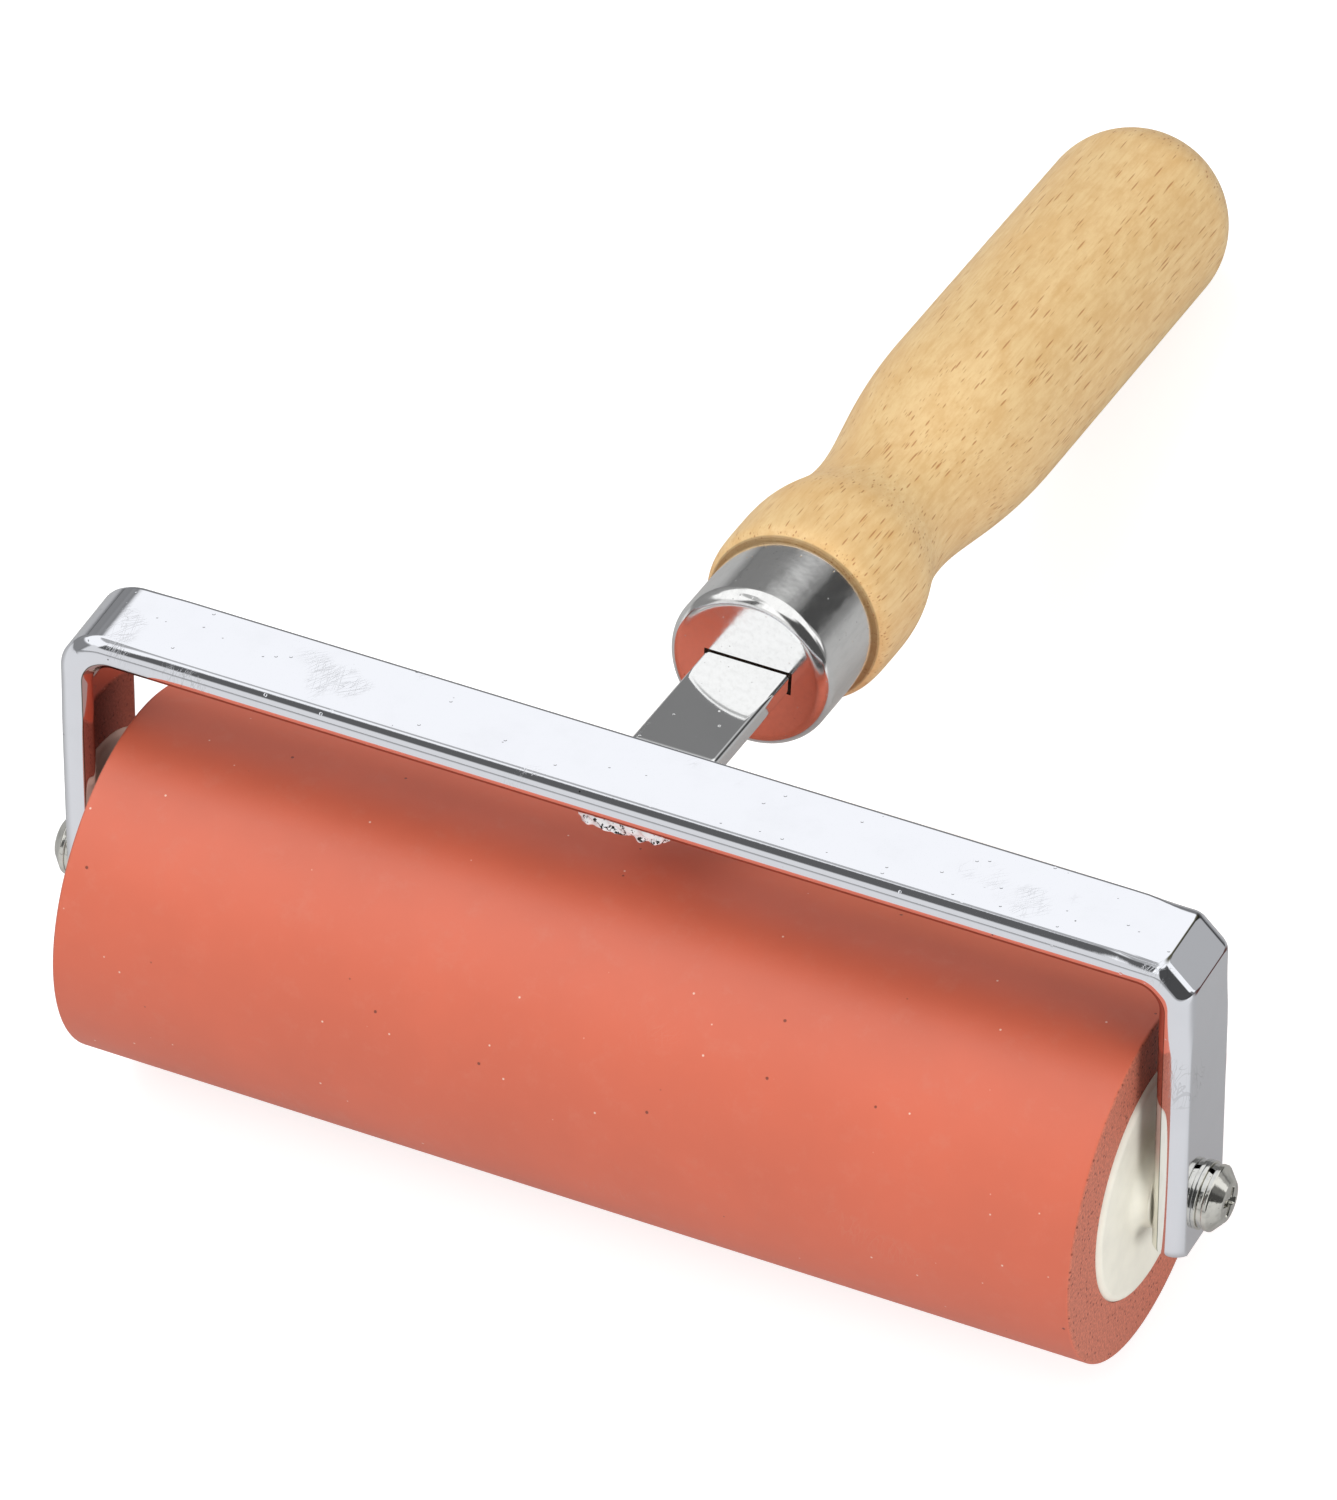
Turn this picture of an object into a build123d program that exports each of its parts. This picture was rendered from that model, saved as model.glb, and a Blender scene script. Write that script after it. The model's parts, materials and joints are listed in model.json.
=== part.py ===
"""A hand brayer: a rubber roller that spins in a bent steel fork with a turned beech handle.

Everything is in millimetres. The brayer stands as it is put down on a bench, on its roller and on
the round end of its handle. +X runs along the axle, +Y back towards the handle and +Z up. The
origin is on the bench, under the middle of the roller, on the line where the rubber touches it.
"""

from build123d import *
import os
from math import asin, atan2, degrees, hypot

# ------------------------------------------------------------------ driving dimensions
# Roller
roller_diameter = 52.0
roller_length = 150.0
rubber_edge_break = 0.4
core_diameter = 34.7
core_wall = 2.6
hub_flange_thickness = 4.0
hub_proud = 0.6
hub_rim_chamfer = 0.8
hub_plug_length = 16.0
hub_plug_chamfer = 0.8
hub_recess_depth = 9.0
hub_recess_wall = 3.0
hub_boss_diameter = 12.6
axle_diameter = 8.0
axle_running_clearance = 0.06
boss_end_clearance = 0.35

# Fork, bent from flat steel bar
bar_width = 14.3
bar_thickness = 4.8
bar_edge_radius = 1.6
roller_end_gap = 3.2
roller_top_gap = 12.4
outer_corner_leg = 4.2
inner_corner_radius = 3.4
arm_overhang = 7.2
arm_corner_radius = 2.0

# Tang, a flat strip welded under the web of the fork and cranked down into the handle
tang_width = 12.5
tang_thickness = 3.0
tang_edge_radius = 0.35
tang_setback = 4.15
tang_straight_behind_web = 4.0
tang_bend_radius = 12.0
handle_pitch = 5.8
tang_exposed_length = 23.3
tang_depth_in_handle = 38.0
weld_front_leg = 2.5
weld_front_bulge = 0.55
weld_rear_leg = 1.7
weld_rear_height = 0.6
weld_rear_bulge = 0.25

# Ferrule, a drawn cup with a slot in its closed end
ferrule_diameter = 24.0
ferrule_length = 14.6
ferrule_wall = 0.8
ferrule_corner_radius = 2.0
ferrule_slot_play = 0.3

# Handle, turned from beech; stations are measured from its shoulder, and a level run is how far
# the outline keeps the direction of the centre line as it leaves a station
handle_length = 127.8
shoulder_radius = 12.5
shoulder_ease = 1.2
bulb_radius = 13.75
bulb_station = 9.0
bulb_level_run = 9.5
waist_radius = 10.85
waist_station = 28.0
waist_level_run = 9.5
grip_radius = 13.85
grip_station = 60.0
grip_level_run = 16.0
tang_hole_relief = 1.0

# Fasteners at the ends of the axle
screw_diameter = 5.0
screw_head_diameter = 9.3
screw_head_height = 2.8
screw_head_rim = 0.9
screw_crown_diameter = 5.6
screw_length = 16.0
screw_hole_play = 0.15
tapped_hole_spare = 2.0
plain_washer_diameter = 9.6
plain_washer_thickness = 0.6
lock_washer_diameter = 9.0
lock_washer_thickness = 0.8
lock_washer_bore = 5.3
lock_washer_split = 0.7
lock_washer_split_angle = 20.0
washer_edge_break = 0.12

# ------------------------------------------------------------------ positions that follow
roller_radius = roller_diameter / 2
arm_inner_x = roller_length / 2 + roller_end_gap
arm_outer_x = arm_inner_x + bar_thickness
web_under_z = roller_radius + roller_top_gap
web_top_z = web_under_z + bar_thickness
hub_face_x = roller_length / 2 + hub_proud
hub_boss_x = arm_inner_x - boss_end_clearance
hub_seat_x = hub_face_x - hub_flange_thickness
hub_plug_end_x = hub_seat_x - hub_plug_length
core_bore_radius = core_diameter / 2 - core_wall
axle_bore_radius = axle_diameter / 2 + axle_running_clearance
screw_seat_x = arm_outer_x + plain_washer_thickness + lock_washer_thickness
tang_mid_z = web_under_z - tang_thickness / 2
tang_front_y = tang_setback - bar_width / 2
bend_y = bar_width / 2 + tang_straight_behind_web
ferrule_front = tang_exposed_length
shoulder = ferrule_front + ferrule_length
tenon_radius = ferrule_diameter / 2 - ferrule_wall
tang_tip = ferrule_front + tang_depth_in_handle
butt_centre = shoulder + handle_length - grip_radius

# The fork leans back about the axle until the round end of the handle reaches the bench.
butt_in_fork = Vector(bend_y, tang_mid_z) + Vector(butt_centre, 0).rotate(Axis.Z, -handle_pitch)
butt_reach = hypot(butt_in_fork.X, butt_in_fork.Y)
butt_rise = degrees(atan2(butt_in_fork.Y, butt_in_fork.X))
lean = butt_rise + degrees(asin((roller_radius - grip_radius) / butt_reach))

# Working planes: axle_side looks along the axle with the fork's own upright as its second axis,
# fork_front looks at the fork from the front, and handle_side follows the handle's centre line.
fork_back = Vector(0, 1, 0).rotate(Axis.X, -lean)
along_handle = fork_back.rotate(Axis.X, -handle_pitch)
axle_side = Plane((0, 0, roller_radius), x_dir=fork_back, z_dir=(1, 0, 0))
fork_front = Plane(axle_side.origin, x_dir=(1, 0, 0), z_dir=-fork_back)
bend_point = axle_side.from_local_coords((bend_y, tang_mid_z, 0))
handle_side = Plane(bend_point, x_dir=along_handle, z_dir=(1, 0, 0))
axle_line = Axis(axle_side.origin, (1, 0, 0))
handle_line = Axis(handle_side.origin, handle_side.x_dir)
fork_upright = Axis(axle_side.origin, axle_side.y_dir)


def shift_along_axle(distance):
    """The axle_side plane moved along the axle."""
    return axle_side.offset(distance)


def corner_at(section, along_axle, radius):
    """The corner of a section under construction that lies at a place along the axle and a radius."""
    return section.vertices().sort_by_distance((along_axle, radius, 0))[0]


def outer_rims(ring):
    """The round edges of the largest radius on a ring under construction."""
    return ring.edges().filter_by(GeomType.CIRCLE).group_by(SortBy.RADIUS)[-1]


def name_and_export(piece, name):
    """Label a finished piece and write it to its own STEP file."""
    piece.label = name
    export_step(piece, f"parts/{name}.step")


# ------------------------------------------------------------------ roller
with BuildPart() as rubber_sleeve:
    with BuildSketch(shift_along_axle(-roller_length / 2)):
        Circle(roller_radius)
        Circle(core_diameter / 2, mode=Mode.SUBTRACT)
    extrude(amount=roller_length)
    chamfer(outer_rims(rubber_sleeve), rubber_edge_break)

with BuildPart() as core_tube:
    with BuildSketch(shift_along_axle(-hub_seat_x)):
        Circle(core_diameter / 2)
        Circle(core_bore_radius, mode=Mode.SUBTRACT)
    extrude(amount=2 * hub_seat_x)

# The moulded hub: a flange over the end of the core, a hollow plug inside it and a boss that
# keeps the roller off the arm. The plug's inner end is relieved between its wall and the bore.
with BuildPart() as hub_right:
    with BuildSketch(fork_front) as hub_section:
        with BuildLine():
            Polyline(
                (hub_plug_end_x, axle_bore_radius),
                (hub_boss_x, axle_bore_radius),
                (hub_boss_x, hub_boss_diameter / 2),
                (hub_face_x, hub_boss_diameter / 2),
                (hub_face_x, core_diameter / 2),
                (hub_seat_x, core_diameter / 2),
                (hub_seat_x, core_bore_radius),
                (hub_plug_end_x, core_bore_radius),
                close=True,
            )
        make_face()
        chamfer(corner_at(hub_section, hub_face_x, core_diameter / 2), hub_rim_chamfer)
        chamfer(corner_at(hub_section, hub_plug_end_x, core_bore_radius), hub_plug_chamfer)
    revolve(axis=axle_line)
    with BuildSketch(shift_along_axle(hub_plug_end_x)):
        Circle(core_bore_radius - hub_recess_wall)
        Circle(hub_boss_diameter / 2, mode=Mode.SUBTRACT)
    extrude(amount=hub_recess_depth, mode=Mode.SUBTRACT)

with BuildPart() as hub_left:
    mirror(hub_right.part, about=Plane.YZ)

# ------------------------------------------------------------------ axle and its fasteners
with BuildPart() as axle_rod:
    with BuildSketch(shift_along_axle(-arm_inner_x)):
        Circle(axle_diameter / 2)
    extrude(amount=2 * arm_inner_x)
    tapped_depth = screw_length - (screw_seat_x - arm_inner_x) + tapped_hole_spare
    for end_plane in (
        Plane(shift_along_axle(arm_inner_x).origin, z_dir=(1, 0, 0)),
        Plane(shift_along_axle(-arm_inner_x).origin, z_dir=(-1, 0, 0)),
    ):
        with Locations(end_plane):
            Hole(screw_diameter / 2, depth=tapped_depth)

with BuildPart() as screw_right:
    with BuildSketch(fork_front):
        with BuildLine():
            crown_x = screw_seat_x + screw_head_height
            tip_x = screw_seat_x - screw_length
            Polyline(
                (crown_x, 0),
                (tip_x, 0),
                (tip_x, screw_diameter / 2),
                (screw_seat_x, screw_diameter / 2),
                (screw_seat_x, screw_head_diameter / 2),
                (screw_seat_x + screw_head_rim, screw_head_diameter / 2),
                (crown_x, screw_crown_diameter / 2),
                close=True,
            )
        make_face()
    revolve(axis=axle_line)

with BuildPart() as lock_washer_right:
    with BuildSketch(shift_along_axle(arm_outer_x + plain_washer_thickness)):
        Circle(lock_washer_diameter / 2)
        Circle(lock_washer_bore / 2, mode=Mode.SUBTRACT)
    extrude(amount=lock_washer_thickness)
    chamfer(outer_rims(lock_washer_right), washer_edge_break)
    split_middle_x = arm_outer_x + plain_washer_thickness + lock_washer_thickness / 2
    split_plane = fork_front.offset(-lock_washer_diameter / 2)
    with BuildSketch(split_plane):
        with Locations((split_middle_x, 0)):
            Rectangle(
                2 * lock_washer_thickness, lock_washer_split, rotation=lock_washer_split_angle
            )
    extrude(amount=lock_washer_diameter / 2, mode=Mode.SUBTRACT)

with BuildPart() as plain_washer_right:
    with BuildSketch(shift_along_axle(arm_outer_x)):
        Circle(plain_washer_diameter / 2)
        Circle(screw_diameter / 2 + screw_hole_play, mode=Mode.SUBTRACT)
    extrude(amount=plain_washer_thickness)
    chamfer(outer_rims(plain_washer_right), washer_edge_break)

# The left fasteners are the right ones turned half round the fork's upright.
with BuildPart() as screw_left:
    add(screw_right.part.rotate(fork_upright, 180))

with BuildPart() as lock_washer_left:
    add(lock_washer_right.part.rotate(fork_upright, 180))

with BuildPart() as plain_washer_left:
    add(plain_washer_right.part.rotate(fork_upright, 180))

# ------------------------------------------------------------------ fork
with BuildPart() as frame_bar:
    with BuildSketch(fork_front):
        with BuildLine():
            Polyline(
                (arm_outer_x, -arm_overhang),
                (arm_outer_x, web_top_z - outer_corner_leg),
                (arm_outer_x - outer_corner_leg, web_top_z),
                (outer_corner_leg - arm_outer_x, web_top_z),
                (-arm_outer_x, web_top_z - outer_corner_leg),
                (-arm_outer_x, -arm_overhang),
                close=True,
            )
        make_face()
        with BuildLine():
            FilletPolyline(
                (arm_inner_x, -arm_overhang),
                (arm_inner_x, web_under_z),
                (-arm_inner_x, web_under_z),
                (-arm_inner_x, -arm_overhang),
                radius=inner_corner_radius,
            )
            Line((-arm_inner_x, -arm_overhang), (arm_inner_x, -arm_overhang))
        make_face(mode=Mode.SUBTRACT)
    extrude(amount=bar_width / 2, both=True)
    arm_ends = frame_bar.edges().filter_by(Axis.X).group_by(fork_upright)[0]
    fillet(arm_ends, arm_corner_radius)
    across_bar = frame_bar.edges().filter_by(Axis(axle_side.origin, fork_back))
    bends = across_bar.filter_by(lambda edge: axle_side.to_local_coords(edge.center()).Y > 0)
    through_bar = frame_bar.edges().filter_by(Axis.X)
    through_arms = through_bar.filter_by(lambda edge: abs(edge.center().X) > arm_inner_x)
    fillet(frame_bar.edges() - bends - through_arms, bar_edge_radius)
    with BuildSketch(shift_along_axle(-arm_outer_x)):
        Circle(screw_diameter / 2 + screw_hole_play)
    extrude(amount=2 * arm_outer_x, mode=Mode.SUBTRACT)

# ------------------------------------------------------------------ tang and its welds
with BuildPart() as tang:
    with BuildLine() as tang_route:
        tang_start = axle_side.from_local_coords((tang_front_y, tang_mid_z, 0))
        tang_end = handle_side.from_local_coords((tang_tip, 0, 0))
        FilletPolyline(tang_start, handle_side.origin, tang_end, radius=tang_bend_radius)
    with BuildSketch(Plane(tang_start, x_dir=(1, 0, 0), z_dir=axle_side.x_dir)):
        RectangleRounded(tang_width, tang_thickness, tang_edge_radius)
    sweep(path=tang_route.wires()[0])

with BuildPart() as weld_front:
    with BuildSketch(axle_side):
        with BuildLine():
            toe_on_web = (tang_front_y - weld_front_leg, web_under_z)
            toe_on_tang = (tang_front_y, web_under_z - tang_thickness)
            Polyline(toe_on_tang, (tang_front_y, web_under_z), toe_on_web)
            SagittaArc(toe_on_web, toe_on_tang, weld_front_bulge)
        make_face()
    extrude(amount=tang_width / 2, both=True)

with BuildPart() as weld_rear:
    with BuildSketch(axle_side):
        with BuildLine():
            web_rear_y = bar_width / 2
            rounding_start = (web_rear_y - bar_edge_radius, web_under_z)
            rounding_end = (web_rear_y, web_under_z + bar_edge_radius)
            rear_toe_on_tang = (web_rear_y + weld_rear_leg, web_under_z)
            rear_toe_on_web = (web_rear_y, web_under_z + bar_edge_radius + weld_rear_height)
            RadiusArc(rounding_start, rounding_end, -bar_edge_radius)
            Line(rounding_end, rear_toe_on_web)
            SagittaArc(rear_toe_on_web, rear_toe_on_tang, weld_rear_bulge)
            Line(rear_toe_on_tang, rounding_start)
        make_face()
    extrude(amount=tang_width / 2 - tang_edge_radius, both=True)

# ------------------------------------------------------------------ ferrule and handle
with BuildPart() as ferrule:
    with BuildSketch(handle_side):
        with BuildLine():
            outer_r = ferrule_diameter / 2
            inner_corner = ferrule_corner_radius - ferrule_wall
            cup_front = ferrule_front + ferrule_wall
            outer = FilletPolyline(
                (ferrule_front, 0), (ferrule_front, outer_r), (shoulder, outer_r),
                radius=ferrule_corner_radius,
            )
            inner = Polyline(
                (cup_front, 0),
                (cup_front, tenon_radius - inner_corner),
                (cup_front + inner_corner, tenon_radius),
                (shoulder, tenon_radius),
            )
            Line(outer @ 0, inner @ 0)
            Line(outer @ 1, inner @ 1)
        make_face()
    revolve(axis=handle_line)
    with BuildSketch(Plane(handle_side.origin, x_dir=(1, 0, 0), z_dir=handle_side.x_dir)):
        Rectangle(tang_width + 2 * ferrule_slot_play, tang_thickness + 2 * ferrule_slot_play)
    extrude(amount=shoulder, mode=Mode.SUBTRACT)

with BuildPart() as handle:
    with BuildSketch(handle_side):
        with BuildLine():
            tenon_front = ferrule_front + ferrule_wall
            bulb_at = shoulder + bulb_station
            waist_at = shoulder + waist_station
            grip_at = shoulder + grip_station
            Polyline(
                (butt_centre + grip_radius, 0),
                (tenon_front, 0),
                (tenon_front, tenon_radius - ferrule_corner_radius),
                (tenon_front + ferrule_corner_radius, tenon_radius),
                (shoulder, tenon_radius),
                (shoulder, shoulder_radius),
            )
            Bezier(
                (shoulder, shoulder_radius),
                (shoulder + shoulder_ease, bulb_radius),
                (bulb_at, bulb_radius),
            )
            Bezier(
                (bulb_at, bulb_radius),
                (bulb_at + bulb_level_run, bulb_radius),
                (waist_at - waist_level_run, waist_radius),
                (waist_at, waist_radius),
            )
            Bezier(
                (waist_at, waist_radius),
                (waist_at + waist_level_run, waist_radius),
                (grip_at - grip_level_run, grip_radius),
                (grip_at, grip_radius),
            )
            Line((grip_at, grip_radius), (butt_centre, grip_radius))
            RadiusArc((butt_centre, grip_radius), (butt_centre + grip_radius, 0), grip_radius)
        make_face()
    revolve(axis=handle_line)
    with BuildSketch(Plane(handle_side.origin, x_dir=(1, 0, 0), z_dir=handle_side.x_dir)):
        Rectangle(tang_width, tang_thickness)
    extrude(amount=tang_tip + tang_hole_relief, mode=Mode.SUBTRACT)

# ------------------------------------------------------------------ export
os.makedirs("parts", exist_ok=True)
name_and_export(rubber_sleeve.part, "rubber_sleeve")
name_and_export(core_tube.part, "core_tube")
name_and_export(hub_left.part, "hub_left")
name_and_export(hub_right.part, "hub_right")
name_and_export(axle_rod.part, "axle_rod")
name_and_export(frame_bar.part, "frame_bar")
name_and_export(tang.part, "tang")
name_and_export(weld_front.part, "weld_front")
name_and_export(weld_rear.part, "weld_rear")
name_and_export(ferrule.part, "ferrule")
name_and_export(handle.part, "handle")
name_and_export(screw_left.part, "screw_left")
name_and_export(screw_right.part, "screw_right")
name_and_export(lock_washer_left.part, "lock_washer_left")
name_and_export(lock_washer_right.part, "lock_washer_right")
name_and_export(plain_washer_left.part, "plain_washer_left")
name_and_export(plain_washer_right.part, "plain_washer_right")
print(f"lean {lean:.3f} degrees, web top {web_top_z:.2f} above the axle")
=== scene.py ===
"""The dressed model of a rubber brayer, laid out as an add-on and run as a script.

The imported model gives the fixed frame. Each operator below makes one piece, or one group of like
pieces, around it: a surface worked out with numpy on a grid, with a material of procedural nodes.
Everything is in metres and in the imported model's own frame; sizes are written in millimetres.
"""

import json
import math

import bmesh
import bpy
import numpy as np
from bpy.props import FloatProperty, FloatVectorProperty, PointerProperty
from mathutils import Matrix, Vector


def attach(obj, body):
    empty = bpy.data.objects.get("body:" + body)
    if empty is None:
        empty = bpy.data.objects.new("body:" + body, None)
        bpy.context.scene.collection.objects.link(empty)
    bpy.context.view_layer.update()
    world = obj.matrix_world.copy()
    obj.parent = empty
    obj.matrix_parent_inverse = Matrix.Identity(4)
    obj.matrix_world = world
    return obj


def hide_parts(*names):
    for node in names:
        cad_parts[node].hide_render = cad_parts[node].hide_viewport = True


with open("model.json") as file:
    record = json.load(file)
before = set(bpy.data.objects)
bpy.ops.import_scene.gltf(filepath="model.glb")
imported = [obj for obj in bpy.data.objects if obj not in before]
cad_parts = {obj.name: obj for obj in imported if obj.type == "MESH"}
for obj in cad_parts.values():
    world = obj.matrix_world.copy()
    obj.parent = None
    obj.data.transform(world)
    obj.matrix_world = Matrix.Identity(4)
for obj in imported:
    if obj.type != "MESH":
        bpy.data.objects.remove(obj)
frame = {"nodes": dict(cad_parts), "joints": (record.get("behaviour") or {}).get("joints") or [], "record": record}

bl_info = {
    "name": "Rubber brayer",
    "version": (1, 0, 0),
    "blender": (4, 5, 0),
    "location": "3D View > Sidebar > Brayer",
    "description": "Builds a hand brayer: rubber roller, bent fork, tang, ferrule and beech handle",
    "category": "Object",
}

MM = 0.001
TURN = 2 * math.pi
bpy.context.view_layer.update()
# Millimetres in a metre, as the materials measure.
PER_METRE = 1000.0
# Points nearer to each other than this are one.
SAME_POINT = 2e-7
# The point that the lamps face.
LIT_POINT = Vector((0.0, 0.05, 0.03))
# The mesh attribute that carries the fork's painted reflection and shade marks.
PAINTED_REFLECTION_MARK = "crease_mark"
METAL = {"Metallic": 1.0}
WHITE = (1, 1, 1, 1)


# ---------------------------------------------------------------- property helpers
def length(name, description, default):
    """A length that a user may change; its default is given in millimetres."""
    return FloatProperty(
        name=name,
        description=description,
        default=default * MM,
        min=0.0,
        precision=5,
        unit="LENGTH",
    )


def angle(name, description, default):
    """An angle that a user may change; its default is given in degrees."""
    return FloatProperty(
        name=name, description=description, default=math.radians(default), subtype="ANGLE"
    )


def amount(name, description, default, top):
    """A plain factor from nothing to a top."""
    return FloatProperty(name=name, description=description, default=default, min=0.0, max=top)


def linear(red, green, blue):
    """A display colour of 0 to 255 a channel as the linear light that the shaders work in."""
    shown = np.array((red, green, blue)) / 255
    return tuple(np.where(shown > 0.04045, ((shown + 0.055) / 1.055) ** 2.4, shown / 12.92))


def colour(name, description, red, green, blue):
    """A colour that a user may change, given as it shows on a display."""
    return FloatVectorProperty(
        name=name,
        description=description,
        default=linear(red, green, blue),
        subtype="COLOR",
        min=0.0,
        max=1.0,
    )


# ---------------------------------------------------------------- where things are
class Placement:
    """An origin with three directions: right along the axle, back along the handle, and up."""

    def __init__(self, origin, back, up):
        self.origin = np.array(origin, float)
        self.right = np.array((1.0, 0.0, 0.0))
        self.back = np.array(back, float)
        self.up = np.array(up, float)

    def at(self, x, y, z):
        """The points origin + x right + y back + z up, for arrays that broadcast together."""
        x, y, z = np.broadcast_arrays(x, y, z)
        parts = ((x, self.right), (y, self.back), (z, self.up))
        return sum((v[..., None] * direction for v, direction in parts), self.origin)

    def pitched(self, y, z, pitch):
        """The placement at (0, y, z) whose back direction dips by pitch."""
        back = math.cos(pitch) * self.back - math.sin(pitch) * self.up
        up = math.sin(pitch) * self.back + math.cos(pitch) * self.up
        return Placement(self.at(0.0, y, z), back, up)

    def dip(self):
        """The angle by which the back direction points below the level."""
        return math.atan2(-self.back[2], self.back[1])


def fork_placement():
    """The fork's own placement: its origin on the axle, its up along the arms."""
    mounts = {m["name"]: m for m in frame["record"]["mounts"]}
    up = np.array(mounts["web_top_face"]["axis"], float)
    back = np.cross(up, (1.0, 0.0, 0.0))
    return Placement(frame["joints"][0]["pos_m"], back, up)


FORK = fork_placement()


def handle_placement():
    """The handle's placement: its origin at the tang's bend, its back along the handle."""
    fork, tang = bpy.context.scene.brayer_fork, bpy.context.scene.brayer_tang
    bend_back = fork.bar_width / 2 + tang.straight
    middle = fork.web_under - tang.thickness / 2
    return FORK.pitched(bend_back, middle, tang.pitch)


# ---------------------------------------------------------------- outlines
def rounded_outline(corners, steps, closed=False, hold=0.1):
    """Points along a polygon of corners (x, y, radius), each replaced by an arc of its radius.

    At a corner between unit directions a and b that turns by t, the arc starts r tan(t/2) before
    the corner. Its points are centre + r (n cos u + a sin u) for u from 0 to t, where n points
    from the centre to the arc's start. Straight runs get a point a hold's length off each arc.
    """
    corners, radii = np.split(np.array(corners, float), (2,), axis=1)
    count = len(corners)
    out = []
    for i, (here, radius) in enumerate(zip(corners, radii[:, 0])):
        if radius <= 0 or (not closed and i in (0, count - 1)):
            out.append(here[None])
            continue
        a = here - corners[i - 1]
        b = corners[(i + 1) % count] - here
        run_a, run_b = np.linalg.norm(a), np.linalg.norm(b)
        a, b = a / run_a, b / run_b
        turn = math.atan2(a[0] * b[1] - a[1] * b[0], a @ b)
        lead = radius * math.tan(abs(turn) / 2)
        inward = math.copysign(1.0, turn) * np.array((-a[1], a[0]))
        start = here - a * lead
        centre = start + inward * radius
        u = np.linspace(0, abs(turn), steps + 1)[:, None]
        arc = centre + radius * (-inward * np.cos(u) + a * np.sin(u))
        before = start - a * min(hold * MM, (run_a - lead) * 0.3)
        after = here + b * (lead + min(hold * MM, (run_b - lead) * 0.3))
        out.append(np.vstack((before, arc, after)))
    return np.vstack(out)


def ring_section(inner, outer, start, thickness, inner_edge, outer_edge, steps=4):
    """The section of a flat ring as (x, r), its inner and outer edges rounded."""
    end = start + thickness
    corners = (
        (start, inner, inner_edge),
        (start, outer, outer_edge),
        (end, outer, outer_edge),
        (end, inner, inner_edge),
    )
    return rounded_outline(corners, steps, closed=True)


def bezier(controls, count):
    """A cubic curve through its end controls: the sum of binomial(3, k) (1-t)^(3-k) t^k P_k."""
    t = np.linspace(0, 1, count)[:, None]
    a, b, c, d = (np.array(p, float) for p in controls)
    return a * (1 - t) ** 3 + 3 * b * t * (1 - t) ** 2 + 3 * c * t * t * (1 - t) + d * t**3


def smooth_step(low, high, value):
    """0 below low, 1 above high, and 3u^2 - 2u^3 between them."""
    u = np.clip((value - low) / (high - low), 0, 1)
    return u * u * (3 - 2 * u)


def rings(outline, segments):
    """An outline of (x, r) turned once round, as the grids x, r cos a and r sin a."""
    a = np.linspace(0, TURN, segments, endpoint=False)
    x, r = outline[:, :1], outline[:, 1:]
    return x + 0 * a, r * np.cos(a), r * np.sin(a)


# ---------------------------------------------------------------- meshes and pieces
def grid_faces(rows, columns, closed_rows):
    """The quads of a grid whose columns close on themselves, as four vertex numbers each."""
    last = rows if closed_rows else rows - 1
    r, c = np.meshgrid(np.arange(last), np.arange(columns), indexing="ij")
    across, down = (c + 1) % columns, (r + 1) % rows
    quads = (r * columns + c, r * columns + across, down * columns + across, down * columns + c)
    return np.stack(quads, -1).reshape(-1, 4)


def enclosed_volume(vertices, quads):
    """Six times the signed volume inside the quads: the sum of a . (b x c) over their triangles."""
    a, b, c, d = (vertices[quads[:, k]] for k in range(4))
    return np.sum(a * np.cross(b, c)) + np.sum(a * np.cross(c, d))


def surface(name, points, closed_rows=False, crease=40.0, painted_marks=None):
    """An object whose mesh is the grid of points, with its poles closed and its faces outwards.

    Painted marks are one number for each point, kept in the mesh for its material to read as
    painted reflection and shade.
    """
    rows, columns = points.shape[:2]
    vertices = points.reshape(-1, 3)
    quads = grid_faces(rows, columns, closed_rows)
    if enclosed_volume(vertices - vertices.mean(0), quads) < 0:
        quads = quads[:, ::-1]
    mesh = bpy.data.meshes.new(name)
    mesh.vertices.add(len(vertices))
    mesh.vertices.foreach_set("co", vertices.astype(np.float32).ravel())
    mesh.loops.add(quads.size)
    mesh.loops.foreach_set("vertex_index", quads.astype(np.int32).ravel())
    mesh.polygons.add(len(quads))
    mesh.polygons.foreach_set("loop_start", np.arange(0, quads.size, 4, dtype=np.int32))
    mesh.update(calc_edges=True)
    if painted_marks is not None:
        layer = mesh.attributes.new(PAINTED_REFLECTION_MARK, "FLOAT", "POINT")
        layer.data.foreach_set("value", painted_marks.astype(np.float32).ravel())
    merged = bmesh.new()
    merged.from_mesh(mesh)
    bmesh.ops.remove_doubles(merged, verts=merged.verts, dist=SAME_POINT)
    merged.to_mesh(mesh)
    merged.free()
    mesh.validate()
    mesh.shade_smooth()
    mesh.set_sharp_from_angle(angle=math.radians(crease))
    made = bpy.data.objects.new(name, mesh)
    bpy.context.scene.collection.objects.link(made)
    return made


def dress(piece, body, nodes, material):
    """Give a piece its material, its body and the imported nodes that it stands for."""
    piece.data.materials.append(material)
    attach(piece, body)
    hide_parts(*nodes)


# ---------------------------------------------------------------- shader helpers
def node(tree, kind, sockets, **settings):
    """A shader node; each socket is given a value, or a link from another node's output."""
    made = tree.nodes.new(kind)
    for key, value in settings.items():
        setattr(made, key, value)
    for key, value in sockets.items():
        if isinstance(value, bpy.types.NodeSocket):
            tree.links.new(value, made.inputs[key])
        else:
            made.inputs[key].default_value = value
    return made


def new_material(name):
    """A material with an empty node tree, and that tree."""
    material = bpy.data.materials.new(name)
    material.use_nodes = True
    material.node_tree.nodes.clear()
    return material, material.node_tree


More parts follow.
